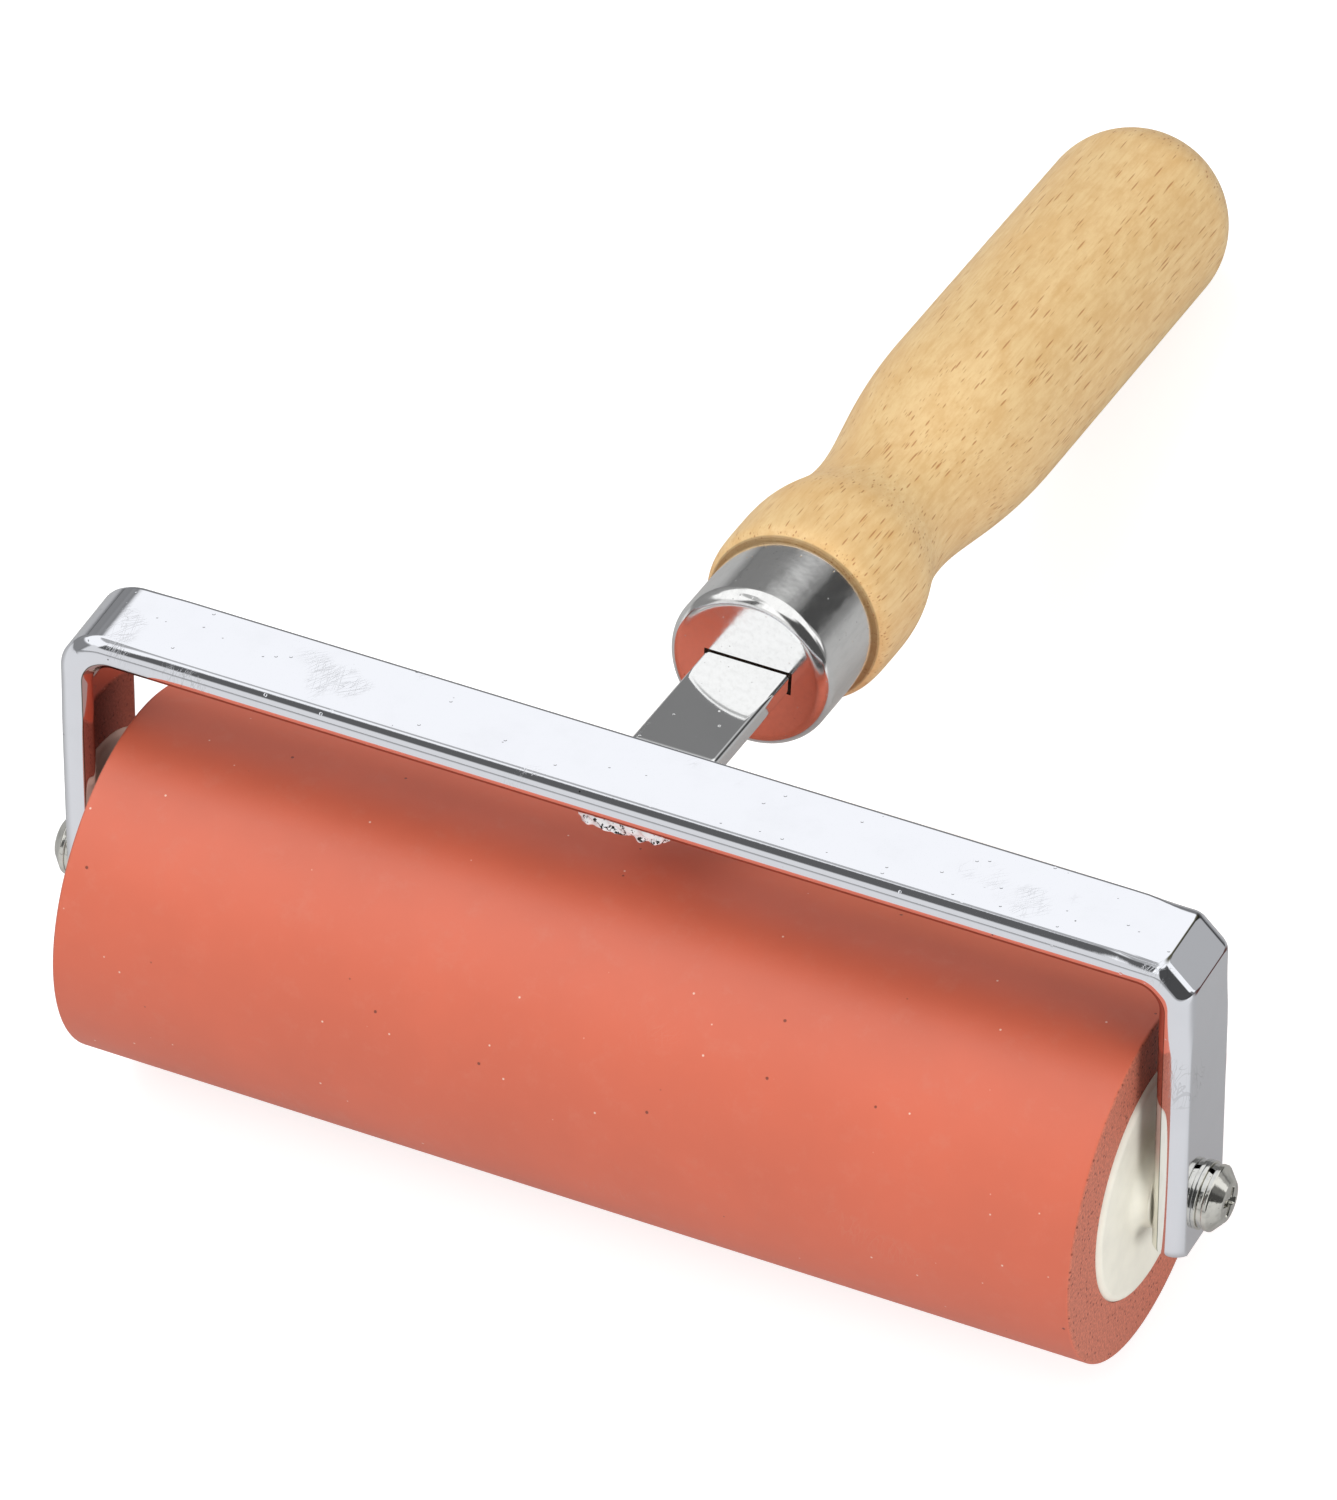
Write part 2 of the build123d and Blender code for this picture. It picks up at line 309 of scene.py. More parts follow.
def finished(material, tint, roughness, bump, more):
    """The material with one Principled shader: a tint, a roughness, a bump and further sockets."""
    tree = material.node_tree
    sockets = {"Base Color": tint, "Roughness": roughness, "Normal": bumped(tree, *bump), **more}
    shader = node(tree, "ShaderNodeBsdfPrincipled", sockets)
    node(tree, "ShaderNodeOutputMaterial", {"Surface": shader.outputs[0]})
    return material


def placed(tree, dip=0.0, origin=(0.0, 0.0, 0.0)):
    """Object coordinates in millimetres, turned about X by a dip, then from a new origin."""
    sockets = {
        "Vector": tree.nodes.new("ShaderNodeTexCoord").outputs["Object"],
        "Scale": (PER_METRE,) * 3,
        "Rotation": (dip, 0.0, 0.0),
        "Location": tuple(-part for part in origin),
    }
    return node(tree, "ShaderNodeMapping", sockets).outputs["Vector"]


def rotated(tree, vector, rotation):
    """A vector turned about the three axes."""
    sockets = {"Vector": vector, "Rotation": rotation}
    return node(tree, "ShaderNodeMapping", sockets).outputs["Vector"]


def stretched(tree, vector, scale):
    """A vector stretched along each axis, so that a pattern in it is shrunk by the same factors."""
    sockets = {"Vector": vector, "Scale": scale}
    return node(tree, "ShaderNodeMapping", sockets).outputs["Vector"]


def noise(tree, vector, scale=1.0, detail=2.0, roughness=0.5):
    """A noise field of 0 to 1."""
    sockets = {"Vector": vector, "Scale": scale, "Detail": detail, "Roughness": roughness}
    return node(tree, "ShaderNodeTexNoise", sockets).outputs["Fac"]


def ranged(tree, value, low, high, out_low=0.0, out_high=1.0):
    """A value eased from the range low..high to out_low..out_high, and held past its ends."""
    limits = {"From Min": low, "From Max": high, "To Min": out_low, "To Max": out_high}
    made = node(
        tree, "ShaderNodeMapRange", {"Value": value, **limits}, interpolation_type="SMOOTHSTEP"
    )
    return made.outputs["Result"]


def math_node(tree, operation, a, b=0.0, c=0.0):
    """One arithmetic step between numbers or sockets."""
    made = node(tree, "ShaderNodeMath", {0: a, 1: b, 2: c}, operation=operation)
    return made.outputs["Value"]


def times(tree, a, b):
    """The product a b."""
    return math_node(tree, "MULTIPLY", a, b)


def times_plus(tree, a, b, rest):
    """The sum a b + rest."""
    return math_node(tree, "MULTIPLY_ADD", a, b, rest)


def blended(tree, factor, first, second):
    """Two colours mixed by a factor."""
    colours = {
        index: tint if isinstance(tint, bpy.types.NodeSocket) else (*tint[:3], 1.0)
        for index, tint in ((6, first), (7, second))
    }
    return node(tree, "ShaderNodeMix", {0: factor, **colours}, data_type="RGBA").outputs[2]


def layered(tree, shade, *layers):
    """A colour with further colours laid over it in turn, each by its own factor."""
    for factor, tint in layers:
        shade = blended(tree, factor, shade, tint)
    return shade


def scaled_colour(tint, factor):
    """A colour made darker or lighter by a factor."""
    return tuple(min(1.0, channel * factor) for channel in tint[:3])


def bumped(tree, height, distance):
    """A bump from a height of 0 to 1, where 1 stands for a distance in millimetres."""
    sockets = {"Height": height, "Distance": distance * MM, "Strength": 1.0}
    return node(tree, "ShaderNodeBump", sockets).outputs["Normal"]


def separate(tree, vector):
    """The three parts of a vector."""
    made = node(tree, "ShaderNodeSeparateXYZ", {"Vector": vector})
    return made.outputs["X"], made.outputs["Y"], made.outputs["Z"]


def scattered(tree, where, pace, size, share):
    """Round spots of a size, as a share of a cell, kept in a random share of all cells."""
    cell = node(tree, "ShaderNodeTexVoronoi", {"Vector": where, "Scale": pace})
    draw = node(tree, "ShaderNodeSeparateColor", {"Color": cell.outputs["Color"]}).outputs["Red"]
    kept = ranged(tree, draw, 1 - share, 1.02 - share)
    return times(tree, ranged(tree, cell.outputs["Distance"], size, size * 0.5), kept)


def scratches(tree, where, wear):
    """Thin scratches at a few angles: narrow bands of noise fields stretched into long lines.

    They lie in patches, which grow with the wear.
    """
    found = []
    for turn, density in ((0.5, 0.02), (-0.25, 0.014), (0.9, 0.014)):
        vector = stretched(tree, rotated(tree, where, (0.0, 0.0, turn)), (1.7, 0.08, 0.2))
        field = noise(tree, vector, 1.0, 1.0)
        off_middle = math_node(tree, "ABSOLUTE", math_node(tree, "SUBTRACT", field, 0.5))
        line = ranged(tree, off_middle, density, density * 0.3)
        patch = ranged(tree, noise(tree, where, 0.07), 0.71 - 0.1 * wear, 0.8 - 0.1 * wear)
        found.append(times(tree, line, patch))
    total, *others = found
    for line in others:
        total = math_node(tree, "MAXIMUM", total, line)
    return total


# ---------------------------------------------------------------- the roller
class BrayerRoller(bpy.types.PropertyGroup):
    """Sizes and colours of the rubber roller and its hubs."""

    diameter: length("Diameter", "Across the rubber", 52.0)
    width: length("Width", "Length of the rubber along the axle", 150.0)
    edge_radius: length("Edge radius", "Rounding of the rubber's outer edges", 0.45)
    core_diameter: length("Core diameter", "Across the tube that the rubber sits on", 34.7)
    core_wall: length("Core wall", "Wall of the tube", 2.6)
    axle_bore: length("Axle bore", "Bore of each hub", 8.12)
    hub_flange: length("Hub flange", "Thickness of the hub's flange", 4.0)
    hub_proud: length("Hub proud", "How far the hub stands past the rubber", 0.6)
    hub_rim_radius: length("Hub rim radius", "Rounding of the hub's rim", 1.1)
    hub_boss: length("Hub boss", "Across the boss that meets the arm", 12.6)
    boss_fillet: length("Boss fillet", "Fillet round the foot of the boss", 1.8)
    hub_boss_reach: length("Boss reach", "How far the boss stands past the rubber", 2.85)
    hub_plug: length("Hub plug", "Length of the plug inside the tube", 16.0)
    hub_recess: length("Hub recess", "Depth of the recess in the plug's end", 9.0)
    hub_recess_wall: length("Recess wall", "Wall around the recess", 3.0)
    rubber: colour("Rubber", "Colour of the rubber", 221, 107, 77)
    bloom: colour("Bloom", "Colour of the rubber's paler clouds and scuffs", 221, 130, 106)
    rubber_end: colour("Cut rubber", "Colour of the ground end faces", 195, 115, 94)
    pore: colour("Pore", "Colour inside the pores of the ground ends", 104, 50, 40)
    speck: colour("Speck", "Colour of the pale specks in the rubber", 244, 206, 190)
    plastic: colour("Hub plastic", "Colour of the moulded hubs", 244, 241, 227)


def rubber_material(sizes):
    """Moulded and ground rubber: a soft sheen, clouds, fine pores, pale specks and thin scuffs."""
    material, tree = new_material("brayer_rubber")
    where = placed(tree)
    x, _, _ = separate(tree, where)
    half = sizes.width / 2 / MM
    cut = ranged(tree, math_node(tree, "ABSOLUTE", x), half - 0.35, half - 0.05)

    cloud = ranged(tree, noise(tree, where, 0.035, 4.0, 0.6), 0.3, 0.7)
    mottle = ranged(tree, noise(tree, where, 0.3, 4.0, 0.65), 0.5, 0.8, 0.0, 0.3)
    scuff = scratches(tree, stretched(tree, where, (0.5, 1.0, 1.0)), 0.6)
    pit = scattered(tree, where, 0.2, 0.055, 0.45)
    skin = layered(
        tree,
        scaled_colour(sizes.rubber, 0.96),
        (cloud, scaled_colour(sizes.rubber, 1.04)),
        (mottle, sizes.bloom),
        (times(tree, scuff, 0.35), sizes.bloom),
        (scattered(tree, where, 0.3, 0.06, 0.5), sizes.speck),
        (pit, scaled_colour(sizes.rubber, 0.35)),
    )

    grit = noise(tree, where, 2.2, 3.0, 0.7)
    pore = scattered(tree, where, 1.2, 0.3, 0.6)
    face = layered(
        tree,
        scaled_colour(sizes.rubber_end, 0.8),
        (ranged(tree, grit, 0.35, 0.65), scaled_colour(sizes.rubber_end, 1.2)),
        (times(tree, pore, 0.8), sizes.pore),
        (scattered(tree, where, 1.5, 0.2, 0.2), sizes.speck),
    )

    coarse = times(tree, grit, ranged(tree, cut, 0.0, 1.0, 0.2, 1.0))
    height = math_node(tree, "SUBTRACT", coarse, times(tree, pore, cut))
    height = times_plus(tree, pit, -1.5, height)
    tint = blended(tree, cut, skin, face)
    rough = ranged(tree, cut, 0.0, 1.0, 0.5, 0.6)
    sheen = {"Specular IOR Level": ranged(tree, cut, 0.0, 1.0, 0.9, 0.4)}
    return finished(material, tint, rough, (height, 0.05), sheen)


def plastic_material(sizes):
    """Moulded cream plastic with a faint mottling."""
    material, tree = new_material("brayer_hub_plastic")
    where = placed(tree)
    cloud = noise(tree, where, 0.3, 3.0)
    pale, dark = scaled_colour(sizes.plastic, 1.02), scaled_colour(sizes.plastic, 0.96)
    tint = blended(tree, ranged(tree, cloud, 0.3, 0.7), dark, pale)
    rough = ranged(tree, cloud, 0.3, 0.7, 0.34, 0.38)
    return finished(material, tint, rough, (noise(tree, where, 0.8), 0.004), {})


class BRAYER_OT_rubber(bpy.types.Operator):
    """Make the rubber sleeve: a thick tube with rounded outer edges"""

    bl_idname = "brayer.rubber"
    bl_label = "Rubber sleeve"

    def execute(self, context):
        sizes = context.scene.brayer_roller
        bore, outside, start = sizes.core_diameter / 2, sizes.diameter / 2, -sizes.width / 2
        section = ring_section(bore, outside, start, sizes.width, 0, sizes.edge_radius, steps=10)
        piece = surface("rubber_roll", FORK.at(*rings(section, 320)), closed_rows=True)
        dress(piece, "roller", ["rubber_sleeve"], rubber_material(sizes))
        return {"FINISHED"}


class BRAYER_OT_hubs(bpy.types.Operator):
    """Make both hubs: a flange with a rounded rim, a boss, and a plug with a recess in its end"""

    bl_idname = "brayer.hubs"
    bl_label = "Hubs"

    def execute(self, context):
        sizes = context.scene.brayer_roller
        material = plastic_material(sizes)
        half = sizes.width / 2
        face, boss = half + sizes.hub_proud, half + sizes.hub_boss_reach
        seat = face - sizes.hub_flange
        plug_end = seat - sizes.hub_plug
        rim, plug = sizes.core_diameter / 2, sizes.core_diameter / 2 - sizes.core_wall
        bore, boss_r = sizes.axle_bore / 2, sizes.hub_boss / 2
        recess_end, recess = plug_end + sizes.hub_recess, plug - sizes.hub_recess_wall
        corners = [
            (plug_end, bore, 0),
            (boss, bore, 0.2 * MM),
            (boss, boss_r, 0.3 * MM),
            (face, boss_r, sizes.boss_fillet),
            (face, rim, sizes.hub_rim_radius),
            (seat, rim, 0),
            (seat, plug, 0),
            (plug_end, plug, 0.8 * MM),
            (plug_end, recess, 0),
            (recess_end, recess, 0),
            (recess_end, boss_r, 0),
            (plug_end, boss_r, 0),
        ]
        outline = rounded_outline(corners, 8, closed=True)
        for side, name in ((1.0, "right"), (-1.0, "left")):
            points = FORK.at(*rings(outline * (side, 1.0), 192))
            piece = surface(f"hub_{name}_moulding", points, closed_rows=True)
            dress(piece, "roller", [f"hub_{name}"], material)
        return {"FINISHED"}


# ---------------------------------------------------------------- the fork
class BrayerFork(bpy.types.PropertyGroup):
    """Sizes and colours of the fork, bent from flat bar."""

    bar_width: length("Bar width", "Width of the flat bar", 14.3)
    bar_thickness: length("Bar thickness", "Thickness of the flat bar", 4.8)
    bar_bulge: length("Bar bulge", "How far the bar's sides bulge past their borders", 1.2)
    corner_bulge: length("Corner bulge", "The same for the outer borders at the facet", 2.3)
    end_edge: length("End edge", "Rounding round the sawn ends of the arms", 0.6)
    arm_inside: length("Arm inside", "From the middle to the inner face of an arm", 78.2)
    web_under: length("Web under", "From the axle up to the under side of the web", 38.4)
    arm_drop: length("Arm drop", "How far the arms reach below the axle", 7.2)
    arm_corner: length("Arm corner", "Rounding of the arms' lower corners, seen from the side", 2.0)
    facet: length("Facet", "Leg of the flat across each outer corner", 4.2)
    facet_edge: length("Facet edge", "Rounding of the facet's two edges in the middle", 0.45)
    facet_spread: length("Facet spread", "How much that rounding grows towards the sides", 3.0)
    inner_corner: length("Inner corner", "Rounding inside each corner", 3.4)
    chrome: colour("Chrome", "Tint of the bright plating", 244, 246, 252)


def chrome_material(name, tint, roughness, wear, ripple, with_painted_reflections=False):
    """Bright plate: a faint ripple, scratches in patches, small dents, dark pits and thin haze.

    A plate with painted reflections also shows its mesh's marks as painted reflection and shade.
    """
    material, tree = new_material(name)
    where = placed(tree)
    waves = noise(tree, where, 0.05)
    peel = noise(tree, where, 0.9, 3.0, 0.6)
    haze = noise(tree, where, 0.12, 4.0, 0.6)
    scratch = scratches(tree, where, wear)
    dent = scattered(tree, where, 0.6, 0.16, 0.25 * wear)
    pit = scattered(tree, where, 0.4, 0.07, 0.12 * wear)
    shade = layered(
        tree,
        tint,
        (ranged(tree, haze, 0.45, 0.8, 0.0, 0.3), scaled_colour(tint, 0.9)),
        (times(tree, scratch, 0.22), linear(140, 140, 142)),
        (times(tree, pit, 0.9), linear(70, 66, 62)),
    )
    # The fork's painted reflection and shade, read from its mesh's marks.
    if with_painted_reflections:
        shade = painted_reflections_shown(tree, where, shade)
    height = times_plus(tree, peel, ripple, times(tree, waves, 0.6))
    height = times_plus(tree, scratch, -0.25, height)
    height = times_plus(tree, dent, -1.6, height)
    rough = times_plus(tree, haze, 0.03, times_plus(tree, scratch, 0.03, roughness))
    return finished(material, shade, rough, (height, 0.012), METAL)


def painted_reflections_shown(tree, where, shade):
    """The plate's colour with painted reflection and shade from the mesh's marks: dark lines on the
    facet's creases, a dark red line on the crease beside the arm, and duller inner faces tinted as a
    painted reflection of the red roller.

    The inner faces' painted reflection turns warmer and darker between 32 and 40 mm over the bench,
    as painted shade where the roller lies under the web.
    """
    painted_mark = node(tree, "ShaderNodeAttribute", {}, attribute_name=PAINTED_REFLECTION_MARK).outputs["Fac"]
    _, _, height = separate(tree, where)
    painted_shade_higher = ranged(tree, height, 32.0, 40.0)
    inner = blended(tree, painted_shade_higher, linear(228, 226, 218), linear(186, 150, 146))
    # Painted reflection and shade: dark crease lines, a dark red line beside the arm, and the roller mirrored on
    # the inner faces.
    return layered(
        tree,
        shade,
        (ranged(tree, painted_mark, 0.2, 0.9), linear(84, 82, 66)),
        (ranged(tree, painted_mark, -0.3, -0.9), linear(122, 72, 66)),
        (ranged(tree, painted_mark, 1.0, 1.6), inner),
    )


def bar_section():
    """Points once round a flat bar with bulging sides, as three numbers each.

    f is the share of the way across from the middle line to a side, u the share of a side's bulge
    from its crest (0) to its border with a broad face (1), and i tells the inner half (1) from
    the outer one (0).
    """
    flat = np.array((-0.945, -0.75, -0.4, 0.0, 0.4, 0.75, 0.945))
    bulge = np.array((1.0, 0.93, 0.86, 0.77, 0.66, 0.54, 0.42, 0.3, 0.2, 0.1))
    crest = np.zeros(1)
    f = np.concatenate((flat, 0 * bulge + 1, crest + 1, 0 * bulge + 1))
    u = np.concatenate((0 * flat + 1, bulge, crest, bulge[::-1]))
    i = np.concatenate((0 * flat, 0 * bulge, crest, 0 * bulge + 1))
    return np.concatenate((f, -f)), np.concatenate((u, u)), np.concatenate((i, 1 - i))


def bulging_side(bulge, half, share):
    """A side's inset across the bar and its depth under the broad face, at a share of its bulge.

    The side is an arc through both borders: r = (bulge^2 + half^2) / (2 bulge), and at an angle a
    from its crest the inset is r (1 - cos a) and the depth half - r sin a.
    """
    radius = (bulge**2 + half**2) / (2 * bulge)
    a = np.arctan2(half, radius - bulge) * share
    return radius * (1 - np.cos(a)), half - radius * np.sin(a)


def between(first, last, shares):
    """Points, or rows of points, at the given shares of the way from one to another."""
    shares = np.reshape(shares, (-1,) + (1,) * np.ndim(first))
    return first + (last - first) * shares


def corner_arc(corner, normals, depth, radius, steps):
    """An outer corner at each depth: V - (d + r) m + r n(a), where n(a) turns between the normals.

    V is the corner, m the mitre (n1 + n2) / (1 + n1 . n2), and r the radius less the depth.
    """
    first, last = (np.array((math.cos(a), math.sin(a))) for a in normals)
    mitre = (first + last) / (1 + first @ last)
    left = np.maximum(radius - depth, 0.02 * MM)[:, None]
    turned = np.linspace(*normals, steps)[:, None, None]
    direction = np.concatenate((np.cos(turned), np.sin(turned)), axis=2)
    return np.array(corner) - (depth[:, None] + left) * mitre + left * direction


def arm_end(sizes, f, inset, depth):
    """The rows that close an arm's end, from its middle line outwards, as x, y and z.

    At a height h over the end, the section is narrower by the corner's rounding,
    r - sqrt(r^2 - (r - h)^2), and thinner by the end edge's own rounding.
    """
    half_width, half = sizes.bar_width / 2, sizes.bar_thickness / 2
    turned = np.linspace(0, math.pi / 2, 14)[:-1, None]
    height = sizes.arm_corner * (1 - np.cos(turned))
    narrower = sizes.arm_corner * (1 - np.sin(turned))
    short = np.maximum(sizes.end_edge - height, 0)
    thinner = sizes.end_edge - np.sqrt(sizes.end_edge**2 - short**2)
    rise = (half - depth) * (half - thinner) / half
    y = f * (half_width - narrower - inset)
    rows = (sizes.arm_inside + half + rise, y, height + 0 * rise - sizes.arm_drop)
    first_rows = (0 * rise[:1] + sizes.arm_inside + half, y[:1], rows[2][:1])
    return [np.vstack(pair) for pair in zip(first_rows, rows)]


def fork_half(sizes, corner_bulge, crease, spread):
    """The bar's section at every station from an arm's end to the middle of the web.

    The outer bulge grows to the corner's over the last of the arm and of the web. The rounding of
    the facet's creases is crease in the middle and crease + spread at the sides' crests. Each
    point has a painted mark for painted reflection and shade: up to 1 on the crease beside the web,
    down to -1 on the one beside the arm where the creases spread, and 2 on the inner faces.
    """
    f, u, inner_side = bar_section()
    half_width, half = sizes.bar_width / 2, sizes.bar_thickness / 2
    outside, top = sizes.arm_inside + 2 * half, sizes.web_under + 2 * half
    end = sizes.arm_corner - sizes.arm_drop
    arm_shares = np.array((0, 0.01, 0.3, 0.55, 0.7, 0.78, 0.84, 0.89, 0.93, 0.96, 0.98, 0.995))
    web_shares = np.array((0.002, 0.01, 0.02, 0.035, 0.05, 0.07, 0.09, 0.12, 0.2, 0.4, 0.7, 1))
    arm_shares, web_shares = arm_shares[:, None], web_shares[:, None]

    def profile(growth):
        """Each column's inset and depth under the outer face, for the outer bulge's growth."""
        outer_bulge = sizes.bar_bulge + (corner_bulge - sizes.bar_bulge) * growth
        outer_inset, outer_depth = bulging_side(outer_bulge, half, u)
        inner_inset, inner_depth = bulging_side(sizes.bar_bulge, half, u)
        inset = np.where(inner_side > 0, inner_inset, outer_inset)
        return inset, np.where(inner_side > 0, 2 * half - inner_depth, outer_depth)

    # The outer path: up the arm, round the crease beside it, over the facet, round the crease
    # beside the web, and along the web.
    corner_inset, corner_depth = profile(np.ones((1, 1)))
    out = np.abs(f) * (half_width - corner_inset[0]) / half_width
    rounding = crease + spread * smooth_step(0.5, 1.05, out)
    steep, middle, level = 0, math.pi / 4, math.pi / 2
    arc = (corner_depth[0], rounding, 9)
    low = corner_arc((outside, top - sizes.facet), (steep, middle), *arc)
    high = corner_arc((outside - sizes.facet, top), (middle, level), *arc)
    facet = between(low[-1], high[0], (0.02, 0.08, 0.3, 0.5, 0.7, 0.92, 0.98))
    arm_inset, arm_depth = profile(smooth_step(0.72, 1.0, arm_shares))
    web_inset, web_depth = profile(smooth_step(0.1, 0.0, web_shares))
    arm_z = end + (low[0, :, 1] - end) * arm_shares
    arm = np.stack((outside - arm_depth, arm_z), -1)
    web = np.stack((high[-1, :, 0] * (1 - web_shares), top - web_depth), -1)
    outer = np.concatenate((arm, low, facet, high, web))
    bent = len(low) + len(facet) + len(high)
    inset = np.concatenate((arm_inset, np.repeat(corner_inset, bent, 0), web_inset))
    depth = np.concatenate((arm_depth, np.repeat(corner_depth, bent, 0), web_depth))

    # The inner path: up the arm, round one bend, and along the web. Each column goes from the
    # outer path to the inner one with its depth.
    turned = np.linspace(0, math.pi / 2, bent)[:, None]
    above = 2 * half - depth
    reach = sizes.inner_corner + above[len(arm) : len(arm) + bent]
    centre = np.array((sizes.arm_inside, sizes.web_under)) - sizes.inner_corner
    bend = centre + np.stack((reach * np.cos(turned), reach * np.sin(turned)), -1)
    arm_z = end + (centre[1] - end) * arm_shares
    inner_arm = np.stack((sizes.arm_inside + above[: len(arm)], arm_z + 0 * arm_depth), -1)
    web_x = centre[0] * (1 - web_shares)
    inner_web = np.stack((web_x + 0 * web_depth, sizes.web_under + above[-len(web) :]), -1)
    inner = np.concatenate((inner_arm, bend, inner_web))
    path = outer + (inner - outer) * smooth_step(0.3, 0.9, depth / (2 * half))[..., None]

    end_x, end_y, end_z = arm_end(sizes, f, arm_inset[:1], arm_depth[:1])
    x = np.vstack((end_x, path[..., 0]))
    y = np.vstack((end_y, f * (half_width - inset)))
    z = np.vstack((end_z, path[..., 1]))
    # Painted reflection and shade marks on the facet's creases and on the inner faces.
    painted_crease_peak = np.sin(np.linspace(0, math.pi, len(low))) * (spread > 0)
    before, flat, after = (np.zeros(n) for n in (len(end_x) + len(arm), len(facet), len(web)))
    painted_mark = np.concatenate((before, -painted_crease_peak, flat, painted_crease_peak, after))[:, None]
    painted_inner_face = (inner_side > 0) & (u > 0.5)
    return x, y, z, painted_mark * smooth_step(0.9, 0.6, out) + 2 * painted_inner_face


def fork_grid(sizes):
    """The whole U: the half with the flat across its corner, then the rounded half, mirrored.

    The rounded half's creases are so wide that they meet: r tan(22.5) = leg / sqrt(2) at most.
    """
    almost, fuller = 0.999, 1.2
    flat = fork_half(sizes, sizes.corner_bulge, sizes.facet_edge, sizes.facet_spread)
    meeting = almost * sizes.facet / math.sqrt(2) / math.tan(math.pi / 8)
    rounded = fork_half(sizes, sizes.bar_bulge * fuller, meeting, 0.0)
    x, y, z, painted_mark = (
        np.vstack((first, sign * last[-2::-1]))
        for first, last, sign in zip(flat, rounded, (-1, 1, 1, 1))
    )
    return FORK.at(x, y, z), painted_mark


class BRAYER_OT_fork(bpy.types.Operator):
    """Make the fork: a rounded flat bar carried along a U with a flat across each outer corner"""

    bl_idname = "brayer.fork"
    bl_label = "Fork"

    def execute(self, context):
        sizes = context.scene.brayer_fork
        # The marks carry painted reflection and shade for the fork's creases and inner faces.
        points, painted_marks = fork_grid(sizes)
        piece = surface("fork_bar", points, crease=60.0, painted_marks=painted_marks)
        material = chrome_material("brayer_chrome", sizes.chrome, 0.03, 1.0, 0.22, with_painted_reflections=True)
        dress(piece, "frame", ["frame_bar"], material)
        return {"FINISHED"}


# ---------------------------------------------------------------- the tang and its welds
class BrayerTang(bpy.types.PropertyGroup):
    """Sizes and colours of the tang and of the weld beads that hold it."""

    width: length("Width", "Width of the strip", 12.5)
    thickness: length("Thickness", "Thickness of the strip", 3.0)
    edge: length("Edge", "Rounding of the strip's long edges", 0.6)
    setback: length("Setback", "From the bar's front to the strip's front end", 4.15)
    straight: length("Straight", "Straight run behind the web before the bend", 4.0)
    bend_radius: length("Bend radius", "Radius of the bend at the strip's middle", 12.0)
    pitch: angle("Pitch", "How far the handle dips below the fork's own level", 5.8)
    reach: length("Reach", "From the bend to the strip's tip inside the handle", 61.3)
    weld_leg: length("Weld leg", "How far the front bead runs forward under the web", 2.5)
    weld_bulge: length("Weld bulge", "How far the front bead swells out", 1.0)
    rear_leg: length("Rear leg", "How far the rear bead runs back along the strip", 1.7)
    rear_rise: length("Rear rise", "How high the rear bead climbs the web", 2.2)
    steel: colour("Plated strip", "Tint of the plating on the strip", 251, 252, 253)
    weld: colour("Weld", "Tint of the plated weld metal", 250, 250, 252)


def strip_section(half_width, half_height, radius):
    """Points once round a rounded rectangle: each corner's centre plus r (cos a, sin a)."""
    signs = ((-1, -1), (1, -1), (1, 1), (-1, 1))
    corners = [(x * half_width, y * half_height, radius) for x, y in signs]
    return rounded_outline(corners, 5, closed=True, hold=0.2)


def tang_grid(tang, fork):
    """The strip's section along a level run, an arc that dips by the pitch, and a straight run."""
    bend_back, middle = fork.bar_width / 2 + tang.straight, fork.web_under - tang.thickness / 2
    front = tang.setback - fork.bar_width / 2
    lead = tang.bend_radius * math.tan(tang.pitch / 2)
    a = np.linspace(0, tang.pitch, 10)
    far = np.array((lead * 1.2, lead * 2, tang.reach))
    y = np.concatenate(
        (
            (front, bend_back - lead * 1.1),
            bend_back - lead + tang.bend_radius * np.sin(a),
            bend_back + far * math.cos(tang.pitch),
        )
    )
    z = np.concatenate(
        (
            (middle, middle),
            middle - tang.bend_radius * (1 - np.cos(a)),
            middle - far * math.sin(tang.pitch),
        )
    )
    tilt = np.concatenate(((0, 0), a, 0 * far + tang.pitch))[:, None]
    across, rise = strip_section(tang.width / 2, tang.thickness / 2, tang.edge).T
    y = y[:, None] + rise * np.sin(tilt)
    z = z[:, None] + rise * np.cos(tilt)
    return FORK.at(across + 0 * y, y, z)


def ends_closed(points, direction):
    """The grid with its first and last rows repeated, flattened onto lines along the direction."""
    flat = []
    for row in (points[:1], points[-1:]):
        middle = row.mean(axis=1, keepdims=True)
        flat.append(middle + ((row - middle) @ direction)[..., None] * direction)
    return np.concatenate((flat[0], points, flat[1]))


class BRAYER_OT_tang(bpy.types.Operator):
    """Make the tang: a flat strip with broken edges, cranked down into the handle"""

    bl_idname = "brayer.tang"
    bl_label = "Tang"

    def execute(self, context):
        tang, fork = context.scene.brayer_tang, context.scene.brayer_fork
        points = ends_closed(tang_grid(tang, fork), FORK.right)
        piece = surface("tang_strip", points)
        material = chrome_material("brayer_tang_plate", tang.steel, 0.03, 0.8, 0.1)
        dress(piece, "frame", ["tang"], material)
        return {"FINISHED"}


def lumps(along, around, seed):
    """A weld bead's unevenness, -1 to 1: a sum of sines with seeded directions and phases."""
    draw = np.random.default_rng(seed)
    waves = 14
    total = 0
    for _ in range(waves):
        pace = draw.uniform(0.6, 3.2, 2) * draw.choice((-1, 1), 2)
        total = total + np.sin(along * pace[0] + around * pace[1] + draw.uniform(0, TURN))
    return total / math.sqrt(waves)


